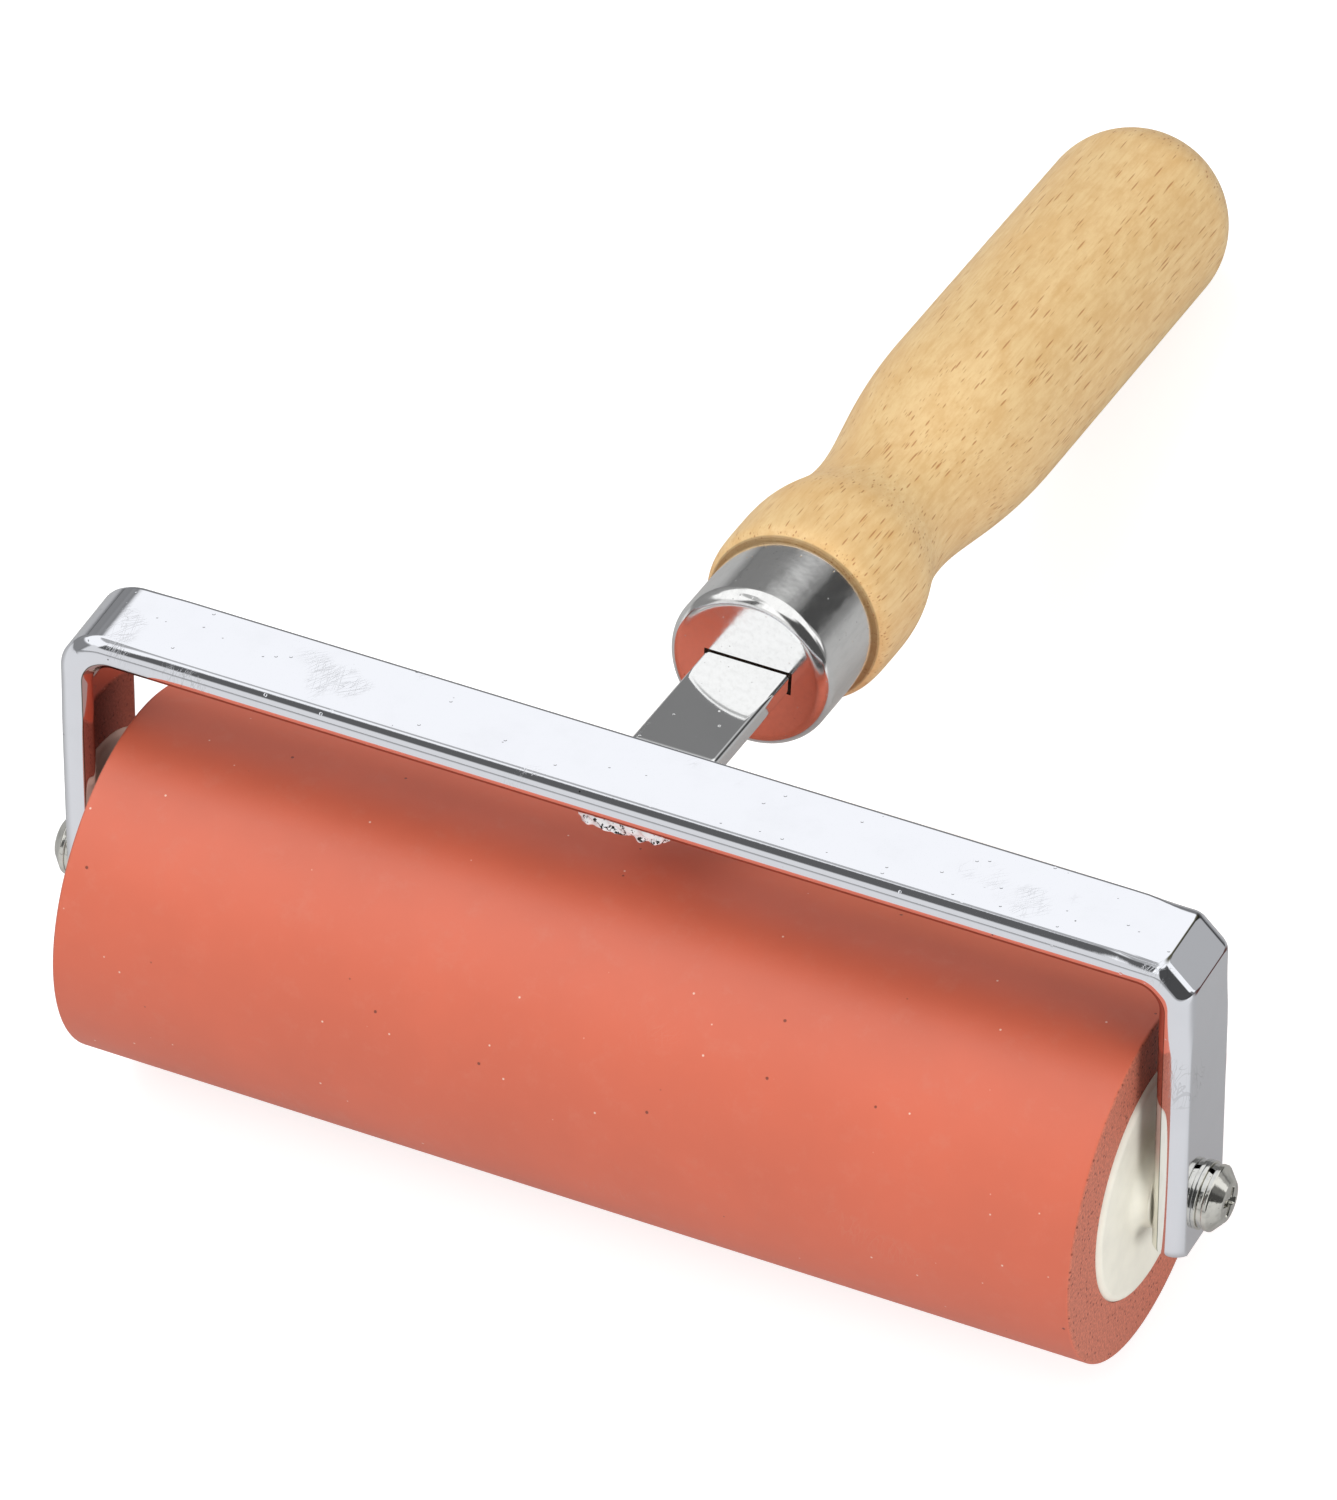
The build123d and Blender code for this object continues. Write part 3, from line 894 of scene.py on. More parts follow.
def bead_grid(start, end, bulge, inside, half_length, seed, roughness):
    """A weld bead: the arc from start to end with a sagitta of bulge, carried along the web.

    Its swell is bulge (1 - v^2) for v from -1 to 1, made uneven by lumps, and it fades to nothing
    at both ends; its back goes straight through the inside corner, where its ends are closed.
    """
    start, end, inside = (np.array(p, float) for p in (start, end, inside))
    v = np.linspace(-1, 1, 21)[:, None]
    chord = (end - start) / np.linalg.norm(end - start)
    outward = np.array((chord[1], -chord[0]))
    if outward @ (inside - start) > 0:
        outward = -outward
    arc = start + (end - start) * (v + 1) / 2
    steps = np.linspace(0, 1, 5)
    back = np.concatenate(
        (between(end, inside, steps)[1:-1], between(inside, start, steps)[:-1])
    )
    x = np.linspace(-half_length, half_length, 91)[:, None]
    fade = np.sqrt(np.clip(1 - (np.abs(x) / half_length) ** 12, 0, 1))
    swell = (bulge + roughness * lumps(x / MM, v.T * 3, seed)) * (1 - v.T**2) * fade
    y, z = (
        np.concatenate((arc[:, k] + swell * outward[k], back[:, k] + 0 * x), axis=1) for k in (0, 1)
    )
    first, last = (FORK.at(row + 0 * y[:1], *inside) for row in (x[:1], x[-1:]))
    return np.concatenate((first, FORK.at(x, y, z), last))


class BRAYER_OT_welds(bpy.types.Operator):
    """Make the two weld beads: rough fillets in front of the tang and behind the web"""

    bl_idname = "brayer.welds"
    bl_label = "Weld beads"

    def execute(self, context):
        tang, fork = context.scene.brayer_tang, context.scene.brayer_fork
        under, rear, edge = fork.web_under, fork.bar_width / 2, fork.bar_bulge
        front = tang.setback - rear
        material = weld_material(tang)
        grids = {
            "weld_front": bead_grid(
                start=(front - tang.weld_leg, under),
                end=(front, under - tang.thickness),
                bulge=tang.weld_bulge,
                inside=(front, under),
                half_length=tang.width / 2,
                seed=3,
                roughness=0.4 * MM,
            ),
            "weld_rear": bead_grid(
                start=(rear, under + tang.rear_rise),
                end=(rear + tang.rear_leg, under),
                bulge=0.2 * MM,
                inside=(rear - edge, under + edge),
                half_length=tang.width / 2 - tang.edge,
                seed=8,
                roughness=0.06 * MM,
            ),
        }
        for name, points in grids.items():
            dress(surface(f"{name}_bead", points), "frame", [name], material)
        return {"FINISHED"}


def weld_material(tang):
    """Plating over a rough bead: pale lumps with dark patches between them, painted as the dark parts of the
    bead's reflections.
    """
    material, tree = new_material("brayer_weld")
    rough = noise(tree, placed(tree), 1.1, 4.0, 0.7)
    # Painted reflection: dark patches where the lumpy plated bead would mirror dark surroundings.
    tint = blended(tree, ranged(tree, rough, 0.56, 0.585), tang.weld, linear(30, 28, 27))
    return finished(material, tint, 0.25, (rough, 0.2), {"Metallic": 0.1})


# ---------------------------------------------------------------- the ferrule and the handle
class BrayerHandle(bpy.types.PropertyGroup):
    """Sizes and colours of the ferrule and the turned handle, measured from the tang's bend."""

    ferrule_front: length("Ferrule front", "From the bend to the ferrule's closed end", 23.3)
    ferrule_diameter: length("Ferrule diameter", "Across the ferrule", 24.0)
    ferrule_length: length("Ferrule length", "Length of the ferrule", 14.6)
    ferrule_wall: length("Ferrule wall", "Wall of the ferrule", 0.8)
    ferrule_corner: length("Ferrule corner", "Rounding round the ferrule's closed end", 2.0)
    slot_play: length("Slot play", "Gap between the tang and the ferrule's slot", 0.25)
    total: length("Handle length", "Length of the wood behind the ferrule", 127.8)
    shoulder: length("Shoulder", "Radius of the wood at the ferrule", 12.5)
    shoulder_ease: length("Shoulder ease", "Where the shoulder's slope would meet the bulb", 1.2)
    bulb: length("Bulb", "Radius of the bulb", 13.75)
    bulb_at: length("Bulb station", "From the ferrule to the bulb's crest", 9.0)
    waist: length("Waist", "Radius of the waist", 10.85)
    waist_at: length("Waist station", "From the ferrule to the waist", 28.0)
    waist_run: length("Waist run", "Level run of the outline at the bulb and the waist", 9.5)
    grip: length("Grip", "Radius of the grip and of its round end", 13.85)
    grip_at: length("Grip station", "From the ferrule to the grip's full width", 60.0)
    grip_run: length("Grip run", "Level run of the outline before the grip", 16.0)
    beech: colour("Beech", "Colour of the wood", 245, 211, 153)
    beech_dark: colour("Beech grain", "Colour of the darker grain", 226, 180, 116)
    beech_warm: colour("Warm beech", "Colour of the wood's warmer clouds", 238, 192, 126)
    fleck: colour("Fleck", "Colour of the short dark flecks", 180, 108, 44)
    plate: colour("Ferrule plate", "Tint of the ferrule's plating", 251, 251, 250)


def ferrule_grid(sizes, tang):
    """A cup with a slot in its closed end, as rings round the handle's line.

    A ring's radius at angle a is the slot's edge, min(w / |cos a|, h / |sin a|), at the slot, and
    an outline's own radius elsewhere; on the flat ends it goes evenly from one to the other.
    """
    half_width = tang.width / 2 + sizes.slot_play
    half_height = tang.thickness / 2 + sizes.slot_play
    corner = math.atan2(half_height, half_width)
    a = np.linspace(0, TURN, 320, endpoint=False)
    corners = np.array((corner, math.pi - corner, math.pi + corner, TURN - corner))
    a = np.sort(np.concatenate((a, corners)))
    slot = np.minimum(
        half_width / np.maximum(np.abs(np.cos(a)), 1e-9),
        half_height / np.maximum(np.abs(np.sin(a)), 1e-9),
    )
    front, back = sizes.ferrule_front, sizes.ferrule_front + sizes.ferrule_length
    outside, wall = sizes.ferrule_diameter / 2, sizes.ferrule_wall
    round_slot = half_width * 1.2
    outline = rounded_outline(
        [
            (front, round_slot, 0),
            (front, outside, sizes.ferrule_corner),
            (back, outside, 0.35 * MM),
            (back, outside - wall, 0),
            (front + wall, outside - wall, sizes.ferrule_corner - wall),
            (front + wall, round_slot, 0),
        ],
        steps=16,
    )
    shares = np.array((0.0, 0.1, 0.4, 0.7))[:, None]
    front_rings, back_rings = (slot + (round_slot - slot) * s for s in (shares, shares[::-1]))
    r = np.vstack((front_rings, outline[:, 1:] + 0 * a, back_rings))
    s = np.vstack((0 * shares + front, outline[:, :1], 0 * shares + front + wall))
    return handle_placement().at(r * np.cos(a), s + 0 * r, r * np.sin(a))


def ferrule_material(sizes, place):
    """Drawn and plated: a soft sheen with shallow dents, pale scuffs, dark specks and haze."""
    material, tree = new_material("brayer_ferrule_plate")
    where = placed_on_handle(tree, place)
    lines = noise(tree, stretched(tree, where, (1.2, 0.3, 1.2)), 1.0, 3.0, 0.6)
    fine = noise(tree, where, 3.0, 3.0, 0.6)
    dents = noise(tree, where, 0.3)
    speck = scattered(tree, where, 1.1, 0.13, 0.22)
    scuff = scattered(tree, stretched(tree, where, (1.0, 0.5, 1.0)), 1.3, 0.16, 0.18)
    shade = layered(
        tree,
        sizes.plate,
        (ranged(tree, lines, 0.4, 0.75), scaled_colour(sizes.plate, 0.94)),
        (times(tree, speck, 0.6), linear(84, 78, 72)),
    )
    height = times_plus(tree, dents, 1.6, times(tree, fine, 0.03))
    height = times_plus(tree, scuff, -1.5, height)
    rough = ranged(tree, lines, 0.3, 0.7, 0.1, 0.17)
    return finished(material, shade, rough, (height, 0.015), METAL)


def placed_on_handle(tree, place):
    """Millimetres from the tang's bend, with Y along the handle's line."""
    dip = place.dip()
    turned = Matrix.Rotation(dip, 3, "X") @ Matrix.Diagonal((PER_METRE,) * 3)
    return placed(tree, dip, np.array(turned) @ place.origin)


class BRAYER_OT_ferrule(bpy.types.Operator):
    """Make the ferrule: a drawn cup with a rounded rim and a slot for the tang"""

    bl_idname = "brayer.ferrule"
    bl_label = "Ferrule"

    def execute(self, context):
        sizes, tang = context.scene.brayer_handle, context.scene.brayer_tang
        piece = surface("ferrule_cup", ferrule_grid(sizes, tang), closed_rows=True, crease=50.0)
        material = ferrule_material(sizes, handle_placement())
        dress(piece, "frame", ["ferrule"], material)
        return {"FINISHED"}


def level_bend(first, last, run_out, run_in, count):
    """A curve between two points of an outline, level at both ends, without its first point."""
    (s, r), (t, q) = first, last
    return bezier((first, (s + run_out, r), (t - run_in, q), last), count)[1:]


def handle_outline(sizes):
    """The turned outline: a steep shoulder, a bulb, a waist, a long grip and a round end."""
    tenon, relief = sizes.ferrule_diameter / 2 - sizes.ferrule_wall, sizes.ferrule_corner
    face = sizes.ferrule_front + sizes.ferrule_wall
    start = sizes.ferrule_front + sizes.ferrule_length
    bulb = (start + sizes.bulb_at, sizes.bulb)
    waist = (start + sizes.waist_at, sizes.waist)
    grip = (start + sizes.grip_at, sizes.grip)
    end = (start + sizes.total - sizes.grip, sizes.grip)
    ease = (start + sizes.shoulder_ease, sizes.bulb)
    a = np.linspace(0, math.pi / 2, 40)
    parts = (
        ((face, 0), (face, tenon - relief), (face + relief, tenon), (start, tenon)),
        bezier(((start, sizes.shoulder), ease, ease, bulb), 30),
        level_bend(bulb, waist, sizes.waist_run, sizes.waist_run, 40),
        level_bend(waist, grip, sizes.waist_run, sizes.grip_run, 50),
        between(np.array(grip), np.array(end), np.linspace(0, 1, 12))[1:-1],
        np.stack((end[0] + sizes.grip * np.sin(a), sizes.grip * np.cos(a)), -1),
    )
    return np.vstack(parts)


def beech_material(sizes, place):
    """Turned beech: mottled wood, faint growth layers, fine grain, short flecks and varnish.

    It has painted shade inside the ferrule, and a painted shadow line round it at the ferrule's open end.
    """
    material, tree = new_material("brayer_beech")
    where = placed_on_handle(tree, place)
    bent = noise(tree, stretched(tree, where, (0.05, 0.02, 0.05)))
    _, y, z = separate(tree, rotated(tree, where, (0.0, 0.6, 0.0)))
    layer = times_plus(tree, y, 0.05, times_plus(tree, bent, 14.0, z))
    ring = ranged(tree, math_node(tree, "PINGPONG", layer, 0.8), 0.2, 0.8)
    grain = noise(tree, stretched(tree, where, (3.0, 0.2, 3.0)), 1.0, 4.0, 0.6)
    mottle = noise(tree, stretched(tree, where, (0.5, 0.2, 0.5)), 1.0, 4.0, 0.65)
    cloud = noise(tree, stretched(tree, where, (0.07, 0.03, 0.07)), 1.0, 3.0)
    fleck = scattered(tree, stretched(tree, where, (1.7, 0.13, 1.7)), 1.0, 0.25, 0.75)
    small = scattered(tree, stretched(tree, where, (2.8, 0.2, 2.8)), 1.0, 0.24, 0.6)
    _, along, _ = separate(tree, where)
    front, rear = (
        s / MM for s in (sizes.ferrule_front, sizes.ferrule_front + sizes.ferrule_length)
    )
    shade = layered(
        tree,
        sizes.beech,
        (ranged(tree, mottle, 0.35, 0.7, 0.0, 0.6), sizes.beech_dark),
        (times(tree, ring, ranged(tree, cloud, 0.4, 0.65, 0.08, 0.4)), sizes.beech_dark),
        (ranged(tree, grain, 0.45, 0.75, 0.0, 0.45), sizes.beech_dark),
        (ranged(tree, cloud, 0.5, 0.75, 0.0, 0.4), sizes.beech_warm),
        (times(tree, fleck, 0.7), sizes.fleck),
        (times(tree, small, 0.45), sizes.fleck),
        # Painted shade inside the ferrule, then a painted shadow line round the wood at the ferrule's open end.
        (ranged(tree, along, front + 4, front + 2), linear(34, 26, 20)),
        (ranged(tree, along, rear + 0.3, rear + 0.1, 0.0, 0.5), linear(92, 60, 36)),
    )
    height = times_plus(tree, fleck, -0.3, grain)
    rough = ranged(tree, grain, 0.3, 0.7, 0.42, 0.52)
    varnish = {"Coat Weight": 0.25, "Coat Roughness": 0.25}
    return finished(material, shade, rough, (height, 0.04), varnish)


class BRAYER_OT_handle(bpy.types.Operator):
    """Make the handle: its turned outline carried round the handle's line"""

    bl_idname = "brayer.handle"
    bl_label = "Handle"

    def execute(self, context):
        sizes = context.scene.brayer_handle
        place = handle_placement()
        along, across, rise = rings(handle_outline(sizes), 256)
        piece = surface("turned_handle", place.at(across, along, rise))
        dress(piece, "frame", ["handle"], beech_material(sizes, place))
        return {"FINISHED"}


# ---------------------------------------------------------------- the fasteners
class BrayerFasteners(bpy.types.PropertyGroup):
    """Sizes and colours of the screws and washers at the axle's ends."""

    shank: length("Shank", "Across the screw's shank", 5.0)
    head: length("Head", "Across the screw's head", 9.3)
    head_rim: length("Head rim", "Height of the head's upright rim", 0.7)
    head_height: length("Head height", "Height of the head", 2.4)
    crown: length("Crown", "Across the flat crown of the head", 5.6)
    screw_length: length("Screw length", "Length of the screw under its head", 16.0)
    recess: length("Recess", "Across the cross recess", 4.6)
    recess_wing: length("Recess wing", "Width of a wing of the recess", 0.95)
    recess_depth: length("Recess depth", "Depth of the recess at its middle", 1.9)
    washer: length("Washer", "Across the plain washer", 9.6)
    washer_thickness: length("Washer thickness", "Thickness of the plain washer", 0.6)
    lock: length("Lock washer", "Across the split lock washer", 9.0)
    lock_thickness: length("Lock washer thickness", "Thickness of the lock washer", 0.8)
    lock_bore: length("Lock washer bore", "Bore of the lock washer", 5.3)
    split: length("Split", "Gap in the lock washer", 0.7)
    play: length("Play", "Room round the shank in the plain washer", 0.15)
    plating: colour("Plating", "Tint of the screws' plating", 226, 225, 218)


def fastener_axis(side):
    """The fork's placement for the right end, or turned half round its upright for the left one."""
    turned = Placement(FORK.origin, FORK.back * side, FORK.up)
    turned.right = FORK.right * side
    return turned


def screw_grid(sizes, seat):
    """A pan-head screw: rings round its axis, with a cross recess pressed into the crown.

    The recess is the deeper of two crossed wings: each is depth (1 - 0.6 r / reach), faded to
    nothing across its sides and its ends by smooth steps.
    """
    head, crown = sizes.head / 2, sizes.crown / 2
    top = seat + sizes.head_height
    reach, wing = sizes.recess / 2, sizes.recess_wing / 2
    outline = rounded_outline(
        [
            (seat - sizes.screw_length, 0, 0),
            (seat - sizes.screw_length, sizes.shank / 2, 0.5 * MM),
            (seat, sizes.shank / 2, 0),
            (seat, head, 0.15 * MM),
            (seat + sizes.head_rim, head, 0.35 * MM),
            (top - 0.1 * MM, crown, 0.6 * MM),
            (top, 0, 0),
        ],
        steps=8,
    )
    x_rim, r_rim = outline[-2]
    r_flat = np.linspace(r_rim, 0, 60)[1:]
    x_flat = np.interp(r_flat, (0, r_rim), (top, x_rim))
    outline = np.vstack((outline[:-1], np.stack((x_flat, r_flat), -1)))
    a = np.linspace(0, TURN, 240, endpoint=False)
    x, r = outline[:, :1], outline[:, 1:]
    cross_turn, soft = 0.5, 0.14 * MM
    u, v = r * np.cos(a + cross_turn), r * np.sin(a + cross_turn)
    sides = (smooth_step(wing + soft, wing - soft, np.abs(p)) for p in (u, v))
    ends = (smooth_step(reach, reach * 0.8, np.abs(p)) for p in (v, u))
    wings = (side * end for side, end in zip(sides, ends))
    depth = sizes.recess_depth * np.maximum(*wings) * np.clip(1 - 0.6 * r / reach, 0, 1)
    depth = np.where(x > seat + sizes.head_rim, depth, 0)
    return x - depth, r * np.cos(a), r * np.sin(a)


def split_ring_grid(sizes, start):
    """A ring cut by a slanting gap: its section carried round from one side of it to the other.

    One more row at each end draws the section together to its middle and so closes the cut.
    """
    thick, inner, outer = sizes.lock_thickness, sizes.lock_bore / 2, sizes.lock / 2
    x, r = ring_section(inner, outer, 0, thick, 0.05 * MM, 0.12 * MM).T
    gap = sizes.split / (inner + outer)
    slope = 0.36
    slant = (x - thick / 2) * slope / (inner + outer) * 2
    share = np.linspace(0, 1, 120)[:, None]
    a = math.pi / 2 + gap + slant + (TURN - 2 * gap) * share
    middle_x, middle_r = 0 * x + thick / 2, 0 * r + (inner + outer) / 2
    x = np.vstack((middle_x, x + 0 * a, middle_x))
    r = np.vstack((middle_r, r + 0 * a, middle_r))
    a = np.vstack((0 * a[0] + a[0].mean(), a, 0 * a[0] + a[-1].mean()))
    return start + x, r * np.cos(a), r * np.sin(a)


def fastener_material(sizes):
    """Bright plating with a warm cast, small dents and dark specks."""
    material, tree = new_material("brayer_screw_plating")
    where = placed(tree)
    fine = noise(tree, where, 2.2, 3.0, 0.6)
    cloud = noise(tree, where, 0.6)
    speck = scattered(tree, where, 1.4, 0.12, 0.2)
    tint = layered(
        tree,
        sizes.plating,
        (ranged(tree, cloud, 0.4, 0.7), scaled_colour(sizes.plating, 0.8)),
        (times(tree, speck, 0.7), linear(60, 56, 50)),
    )
    rough = ranged(tree, fine, 0.3, 0.7, 0.05, 0.1)
    return finished(material, tint, rough, (fine, 0.012), METAL)


class BRAYER_OT_fasteners(bpy.types.Operator):
    """Make the screw, lock washer and plain washer at both ends of the axle"""

    bl_idname = "brayer.fasteners"
    bl_label = "Fasteners"

    def execute(self, context):
        sizes, fork = context.scene.brayer_fasteners, context.scene.brayer_fork
        outside = fork.arm_inside + fork.bar_thickness
        lock_at = outside + sizes.washer_thickness
        seat = lock_at + sizes.lock_thickness
        material = fastener_material(sizes)
        hole, rim = sizes.shank / 2 + sizes.play, sizes.washer / 2
        washer = ring_section(hole, rim, outside, sizes.washer_thickness, 0, 0.12 * MM)
        grids = {
            "screw": (screw_grid(sizes, seat), False),
            "lock_washer": (split_ring_grid(sizes, lock_at), False),
            "plain_washer": (rings(washer, 128), True),
        }
        for side, name in ((1.0, "right"), (-1.0, "left")):
            place = fastener_axis(side)
            for kind, (grid, closed) in grids.items():
                piece = surface(f"{kind}_{name}_plated", place.at(*grid), closed_rows=closed)
                dress(piece, "frame", [f"{kind}_{name}"], material)
        return {"FINISHED"}


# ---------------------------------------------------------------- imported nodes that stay
def steel_material():
    """Drawn bare steel: fine lines along the tube and rod, and faint staining."""
    material, tree = new_material("brayer_drawn_steel")
    where = placed(tree)
    lines = noise(tree, stretched(tree, where, (0.05, 4.0, 4.0)), 1.0, 4.0, 0.6)
    stain = ranged(tree, noise(tree, where, 0.15, 3.0), 0.4, 0.7)
    tint = blended(tree, stain, linear(176, 178, 180), linear(140, 136, 130))
    return finished(material, tint, ranged(tree, lines, 0.3, 0.7, 0.25, 0.4), (lines, 0.01), METAL)


class BRAYER_OT_inner_steel(bpy.types.Operator):
    """Give the core tube and the axle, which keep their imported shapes, a drawn steel finish"""

    bl_idname = "brayer.inner_steel"
    bl_label = "Core tube and axle"

    def execute(self, context):
        material = steel_material()
        for name in ("core_tube", "axle_rod"):
            kept = frame["nodes"][name]
            kept.data.materials.clear()
            kept.data.materials.append(material)
        return {"FINISHED"}


# ---------------------------------------------------------------- the stage
class BrayerStage(bpy.types.PropertyGroup):
    """The camera, the lights and the floor."""

    lens: FloatProperty(
        name="Lens", description="Focal length of the camera", default=314.93, unit="CAMERA"
    )
    world: amount("World light", "Strength of the even light from all round", 0.5, 4.0)
    key: amount("Key light", "Power of the lamp above and behind, in watts", 3.85, 100.0)
    left: amount("Left light", "Power of the lamp at the front left, in watts", 1.85, 100.0)
    right: amount("Right light", "Power of the lamp at the right, in watts", 4.2, 100.0)
    fill: amount("Fill light", "Power of the wide lamp at the front, in watts", 1.4, 100.0)
    floor: colour("Floor", "Colour of the floor", 198, 198, 198)


# The studio as bright plating mirrors it: an azimuth turned from the back towards the right and a
# height over the level, each with its half extent, in degrees, then the brightness there.
STUDIO_PANELS = (
    (-85, 45, 8, 16, 0.24),
    (-62, 27, 22, 9, 0.27),
    (-162, 27, 8, 20, 0.72),
    (-115, 38, 67, 10, 0.4),
    (-115, 35, 69, 0.8, 0.8),
    (-133, 14, 42, 12, 1.0),
    (-172, 11, 45, 20, 1.1),
    (130, 42, 25, 32, 0.07),
    (62, 10, 18, 14, 1.0),
    (29, 9, 8, 15, 0.06),
    (45, 6, 9, 10, 0.44),
)
# A darker panel that only the first mirror on a ray's way shows.
STUDIO_GAP = (-155, 7, 40, 18, 0.11)

# Each lamp's name, its power's name, its azimuth and height in degrees, and its distance and size
# in metres.
LAMPS = (
    ("key_lamp", "key", -63.0, 62.0, 1.0, 0.7),
    ("left_lamp", "left", -130.0, 52.0, 1.0, 0.5),
    ("right_lamp", "right", 112.0, 14.0, 1.0, 0.4),
    ("front_lamp", "fill", -175.0, 14.0, 1.2, 0.7),
)

# The camera in the fork's frame: its right, down and forward directions, and its place in mm.
CAMERA_AXES = ((0.9030, 0.4297, 0.0007), (0.2754, -0.5774, -0.7686), (-0.3298, 0.6942, -0.6398))
CAMERA_PLACE = (574.66, -1199.88, 1154.01)


def camera_rotation(right, down, forward):
    """The camera's turn from its own right, down and forward directions in the fork's frame."""
    world = [
        v[0] * FORK.right + v[1] * FORK.back + v[2] * FORK.up
        for v in (np.array(right), np.array(down), np.array(forward))
    ]
    columns = np.stack((world[0], -world[1], -world[2]), axis=1)
    left, _, right_part = np.linalg.svd(columns)
    return Matrix((left @ right_part).tolist())


def add_lamp(name, azimuth, height, distance, size, power):
    """A square lamp at an azimuth and a height over the level, facing the middle of the brayer.

    Bright surfaces mirror the studio's panels in place of the lamps.
    """
    lamp = bpy.data.lights.new(name, "AREA")
    lamp.shape = "SQUARE"
    lamp.size = size
    lamp.energy = power
    azimuth, height = math.radians(azimuth), math.radians(height)
    level = math.cos(height)
    aim = Vector((math.sin(azimuth) * level, math.cos(azimuth) * level, math.sin(height)))
    place = Matrix.Translation(LIT_POINT + aim * distance)
    made = bpy.data.objects.new(name, lamp)
    made.matrix_world = place @ aim.to_track_quat("Z", "Y").to_matrix().to_4x4()
    made.visible_glossy = False
    bpy.context.scene.collection.objects.link(made)


def panel_mixed(tree, seen, azimuth, height, panel, allowed=1.0):
    """A brightness with one panel of the studio laid over it, softened along the panel's edges."""
    middle, half_width, level, half_height, brightness = panel
    aside = math_node(tree, "WRAP", math_node(tree, "SUBTRACT", azimuth, middle), 180.0, -180.0)
    above = math_node(tree, "SUBTRACT", height, level)
    covered = allowed
    for off, half in ((aside, half_width), (above, half_height)):
        soft = min(4.0, 0.25 * half)
        inside = ranged(tree, math_node(tree, "ABSOLUTE", off), half + soft, half - soft)
        covered = times(tree, inside, covered)
    step = math_node(tree, "SUBTRACT", brightness, seen)
    return times_plus(tree, step, covered, seen)


def seen_plainly(tree, path):
    """1 for rays from the camera, straight or through clear things, and 0 for all others."""
    seen = (path.outputs[f"Is {kind} Ray"] for kind in ("Camera", "Transmission"))
    return math_node(tree, "MAXIMUM", *seen)


def studio_world(strength):
    """Even pale light on matte surfaces, a studio of pale and dark panels in bright ones."""
    world = bpy.data.worlds.new("brayer_studio")
    world.use_nodes = True
    tree = world.node_tree
    tree.nodes.clear()
    path = tree.nodes.new("ShaderNodeLightPath")
    x, y, z = separate(tree, tree.nodes.new("ShaderNodeTexCoord").outputs["Generated"])
    height = math_node(tree, "DEGREES", math_node(tree, "ARCSINE", z))
    azimuth = math_node(tree, "DEGREES", math_node(tree, "ARCTAN2", x, y))
    seen = ranged(tree, height, 20.0, 27.0, 0.2, 1.0)
    for panel in STUDIO_PANELS:
        seen = panel_mixed(tree, seen, azimuth, height, panel)
    first = ranged(tree, path.outputs["Glossy Depth"], 1.6, 1.4)
    seen = panel_mixed(tree, seen, azimuth, height, STUDIO_GAP, first)
    mirror, even, white = (
        node(tree, "ShaderNodeBackground", {"Color": tint, "Strength": power}).outputs[0]
        for tint, power in ((seen, 1.0), (WHITE, strength), (WHITE, 1.0))
    )
    lit = node(tree, "ShaderNodeMixShader", {0: path.outputs["Is Glossy Ray"], 1: even, 2: mirror})
    sockets = {0: seen_plainly(tree, path), 1: lit.outputs[0], 2: white}
    last = node(tree, "ShaderNodeMixShader", sockets)
    node(tree, "ShaderNodeOutputWorld", {"Surface": last.outputs[0]})
    bpy.context.scene.world = world


def floor_material(tint):
    """A pale floor, white to the camera, which keeps its shadows.

    Mirrors see half of its lit colour and a glow: stronger in front of the roller than behind it,
    weak far in front, and gone far behind.
    """
    material, tree = new_material("brayer_floor")
    _, y, _ = separate(tree, placed(tree))
    path = tree.nodes.new("ShaderNodeLightPath")
    glossy = path.outputs["Is Glossy Ray"]
    colour_seen = blended(tree, glossy, tint, scaled_colour(tint, 0.5))
    matte = node(tree, "ShaderNodeBsdfDiffuse", {"Color": colour_seen})
    mirrored = times(
        tree, ranged(tree, y, 25.0, -45.0, 0.16, 0.42), ranged(tree, y, 450.0, 150.0)
    )
    mirrored = times(tree, mirrored, ranged(tree, y, -600.0, -250.0, 0.25, 1.0))
    plain = times(tree, seen_plainly(tree, path), 0.72)
    glow = math_node(tree, "ADD", plain, times(tree, glossy, mirrored))
    light = node(tree, "ShaderNodeEmission", {"Color": WHITE, "Strength": glow})
    total = node(tree, "ShaderNodeAddShader", {0: matte.outputs[0], 1: light.outputs[0]})
    node(tree, "ShaderNodeOutputMaterial", {"Surface": total.outputs[0]})
    return material


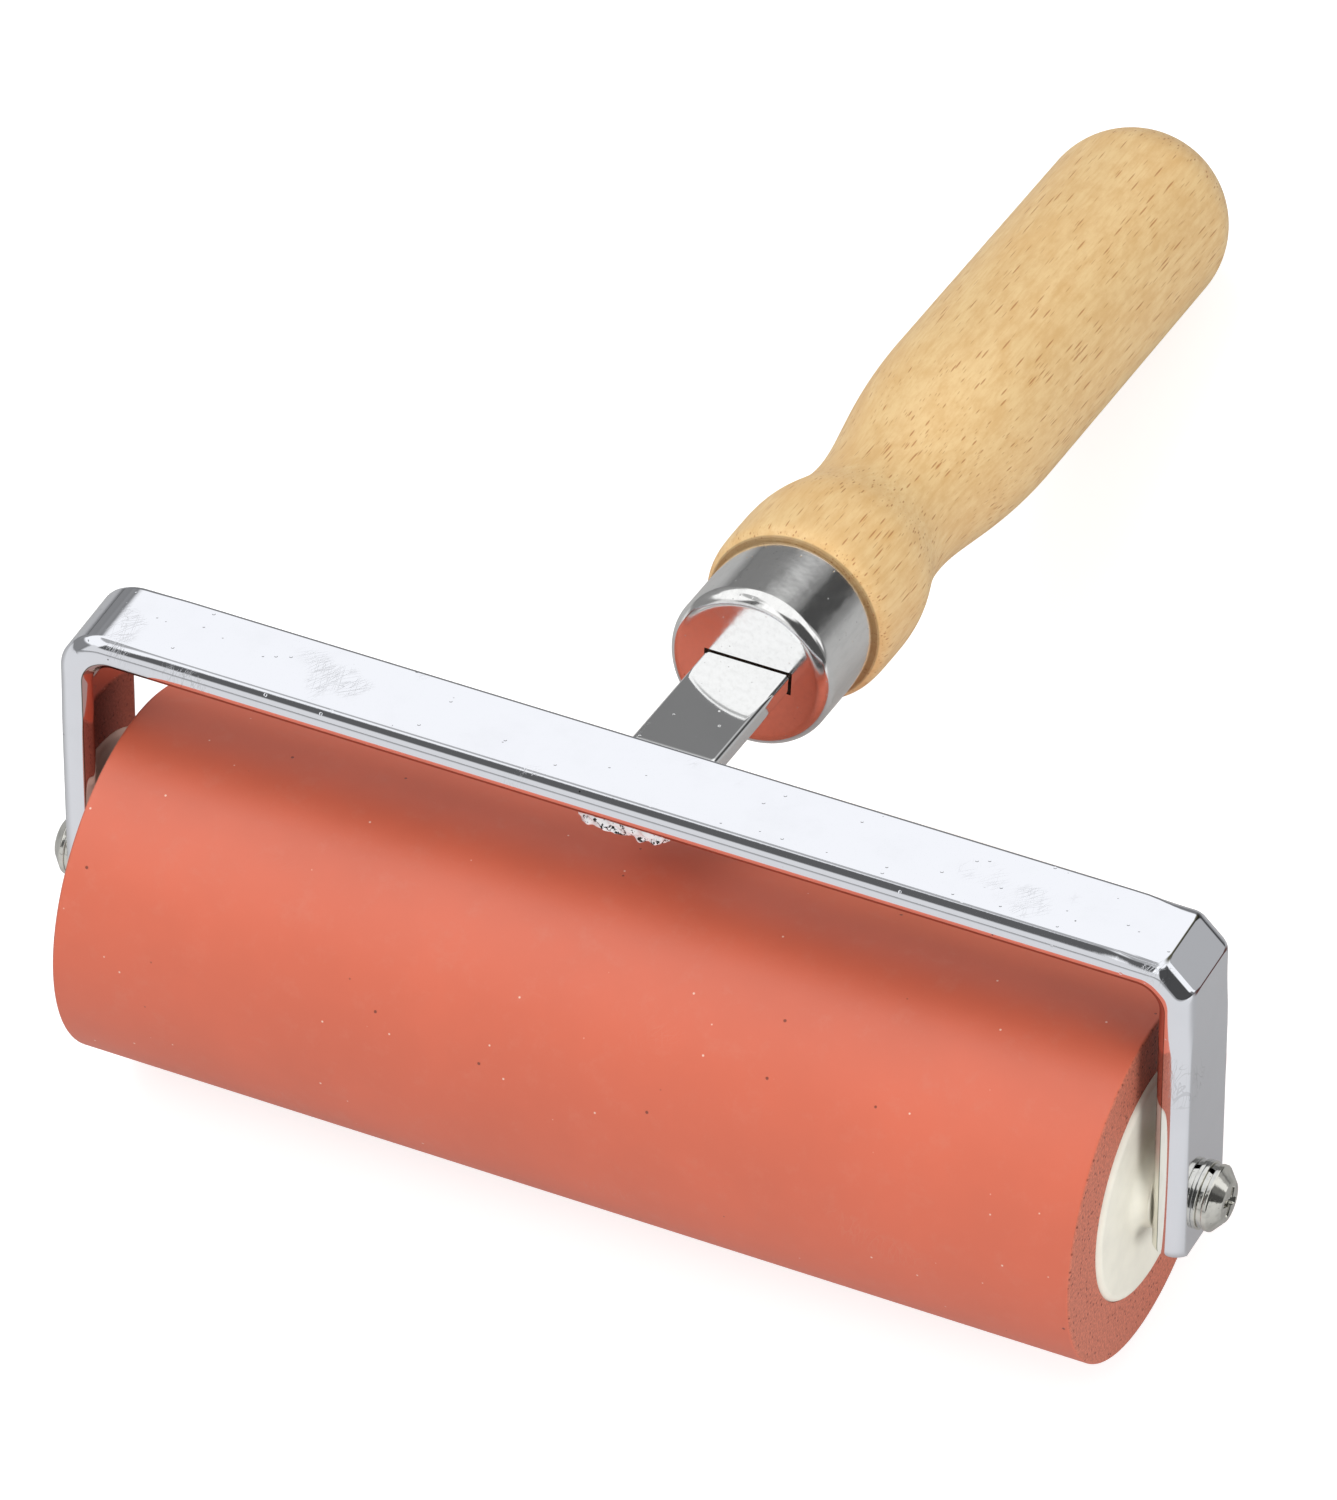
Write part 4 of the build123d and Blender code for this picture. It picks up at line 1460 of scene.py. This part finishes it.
class BRAYER_OT_stage(bpy.types.Operator):
    """Make the camera, the soft lights, the world and the floor"""

    bl_idname = "brayer.stage"
    bl_label = "Stage"

    def execute(self, context):
        scene, stage = context.scene, context.scene.brayer_stage
        camera = bpy.data.cameras.new("brayer_camera")
        camera.lens = stage.lens
        camera.clip_start, camera.clip_end = 0.1, 20.0
        eye = bpy.data.objects.new("brayer_camera", camera)
        place = FORK.at(*(np.array(v * MM) for v in CAMERA_PLACE))
        eye.matrix_world = Matrix.Translation(place) @ camera_rotation(*CAMERA_AXES).to_4x4()
        scene.collection.objects.link(eye)
        scene.camera = eye
        scene.view_settings.view_transform = "Standard"

        studio_world(stage.world)
        for name, power, *lamp in LAMPS:
            add_lamp(name, *lamp, getattr(stage, power))

        reach = 3.0
        corners = [(-reach, -reach, 0), (reach, -reach, 0), (reach, reach, 0), (-reach, reach, 0)]
        mesh = bpy.data.meshes.new("stage_floor")
        mesh.from_pydata(corners, [], [(0, 1, 2, 3)])
        mesh.materials.append(floor_material(stage.floor))
        floor = bpy.data.objects.new("stage_floor", mesh)
        scene.collection.objects.link(floor)
        return {"FINISHED"}


# ---------------------------------------------------------------- the panel and the run
GROUPS = {
    "brayer_roller": BrayerRoller,
    "brayer_fork": BrayerFork,
    "brayer_tang": BrayerTang,
    "brayer_handle": BrayerHandle,
    "brayer_fasteners": BrayerFasteners,
    "brayer_stage": BrayerStage,
}
STEPS = (
    BRAYER_OT_rubber,
    BRAYER_OT_hubs,
    BRAYER_OT_fork,
    BRAYER_OT_tang,
    BRAYER_OT_welds,
    BRAYER_OT_ferrule,
    BRAYER_OT_handle,
    BRAYER_OT_fasteners,
    BRAYER_OT_inner_steel,
    BRAYER_OT_stage,
)


class BRAYER_PT_panel(bpy.types.Panel):
    """The brayer's pieces and their sizes"""

    bl_idname = "BRAYER_PT_panel"
    bl_label = "Rubber brayer"
    bl_space_type = "VIEW_3D"
    bl_region_type = "UI"
    bl_category = "Brayer"

    def draw(self, context):
        for step in STEPS:
            self.layout.operator(step.bl_idname)
        for name, group in GROUPS.items():
            box = self.layout.box()
            box.label(text=name)
            for key in group.__annotations__:
                box.prop(getattr(context.scene, name), key)


def register():
    for name, group in GROUPS.items():
        bpy.utils.register_class(group)
        setattr(bpy.types.Scene, name, PointerProperty(type=group))
    for cls in (*STEPS, BRAYER_PT_panel):
        bpy.utils.register_class(cls)


def unregister():
    for cls in (BRAYER_PT_panel, *reversed(STEPS)):
        bpy.utils.unregister_class(cls)
    for name, group in reversed(GROUPS.items()):
        delattr(bpy.types.Scene, name)
        bpy.utils.unregister_class(group)


def main():
    register()
    for step in STEPS:
        category, action = step.bl_idname.split(".")
        getattr(getattr(bpy.ops, category), action)()


if __name__ == "__main__":
    main()
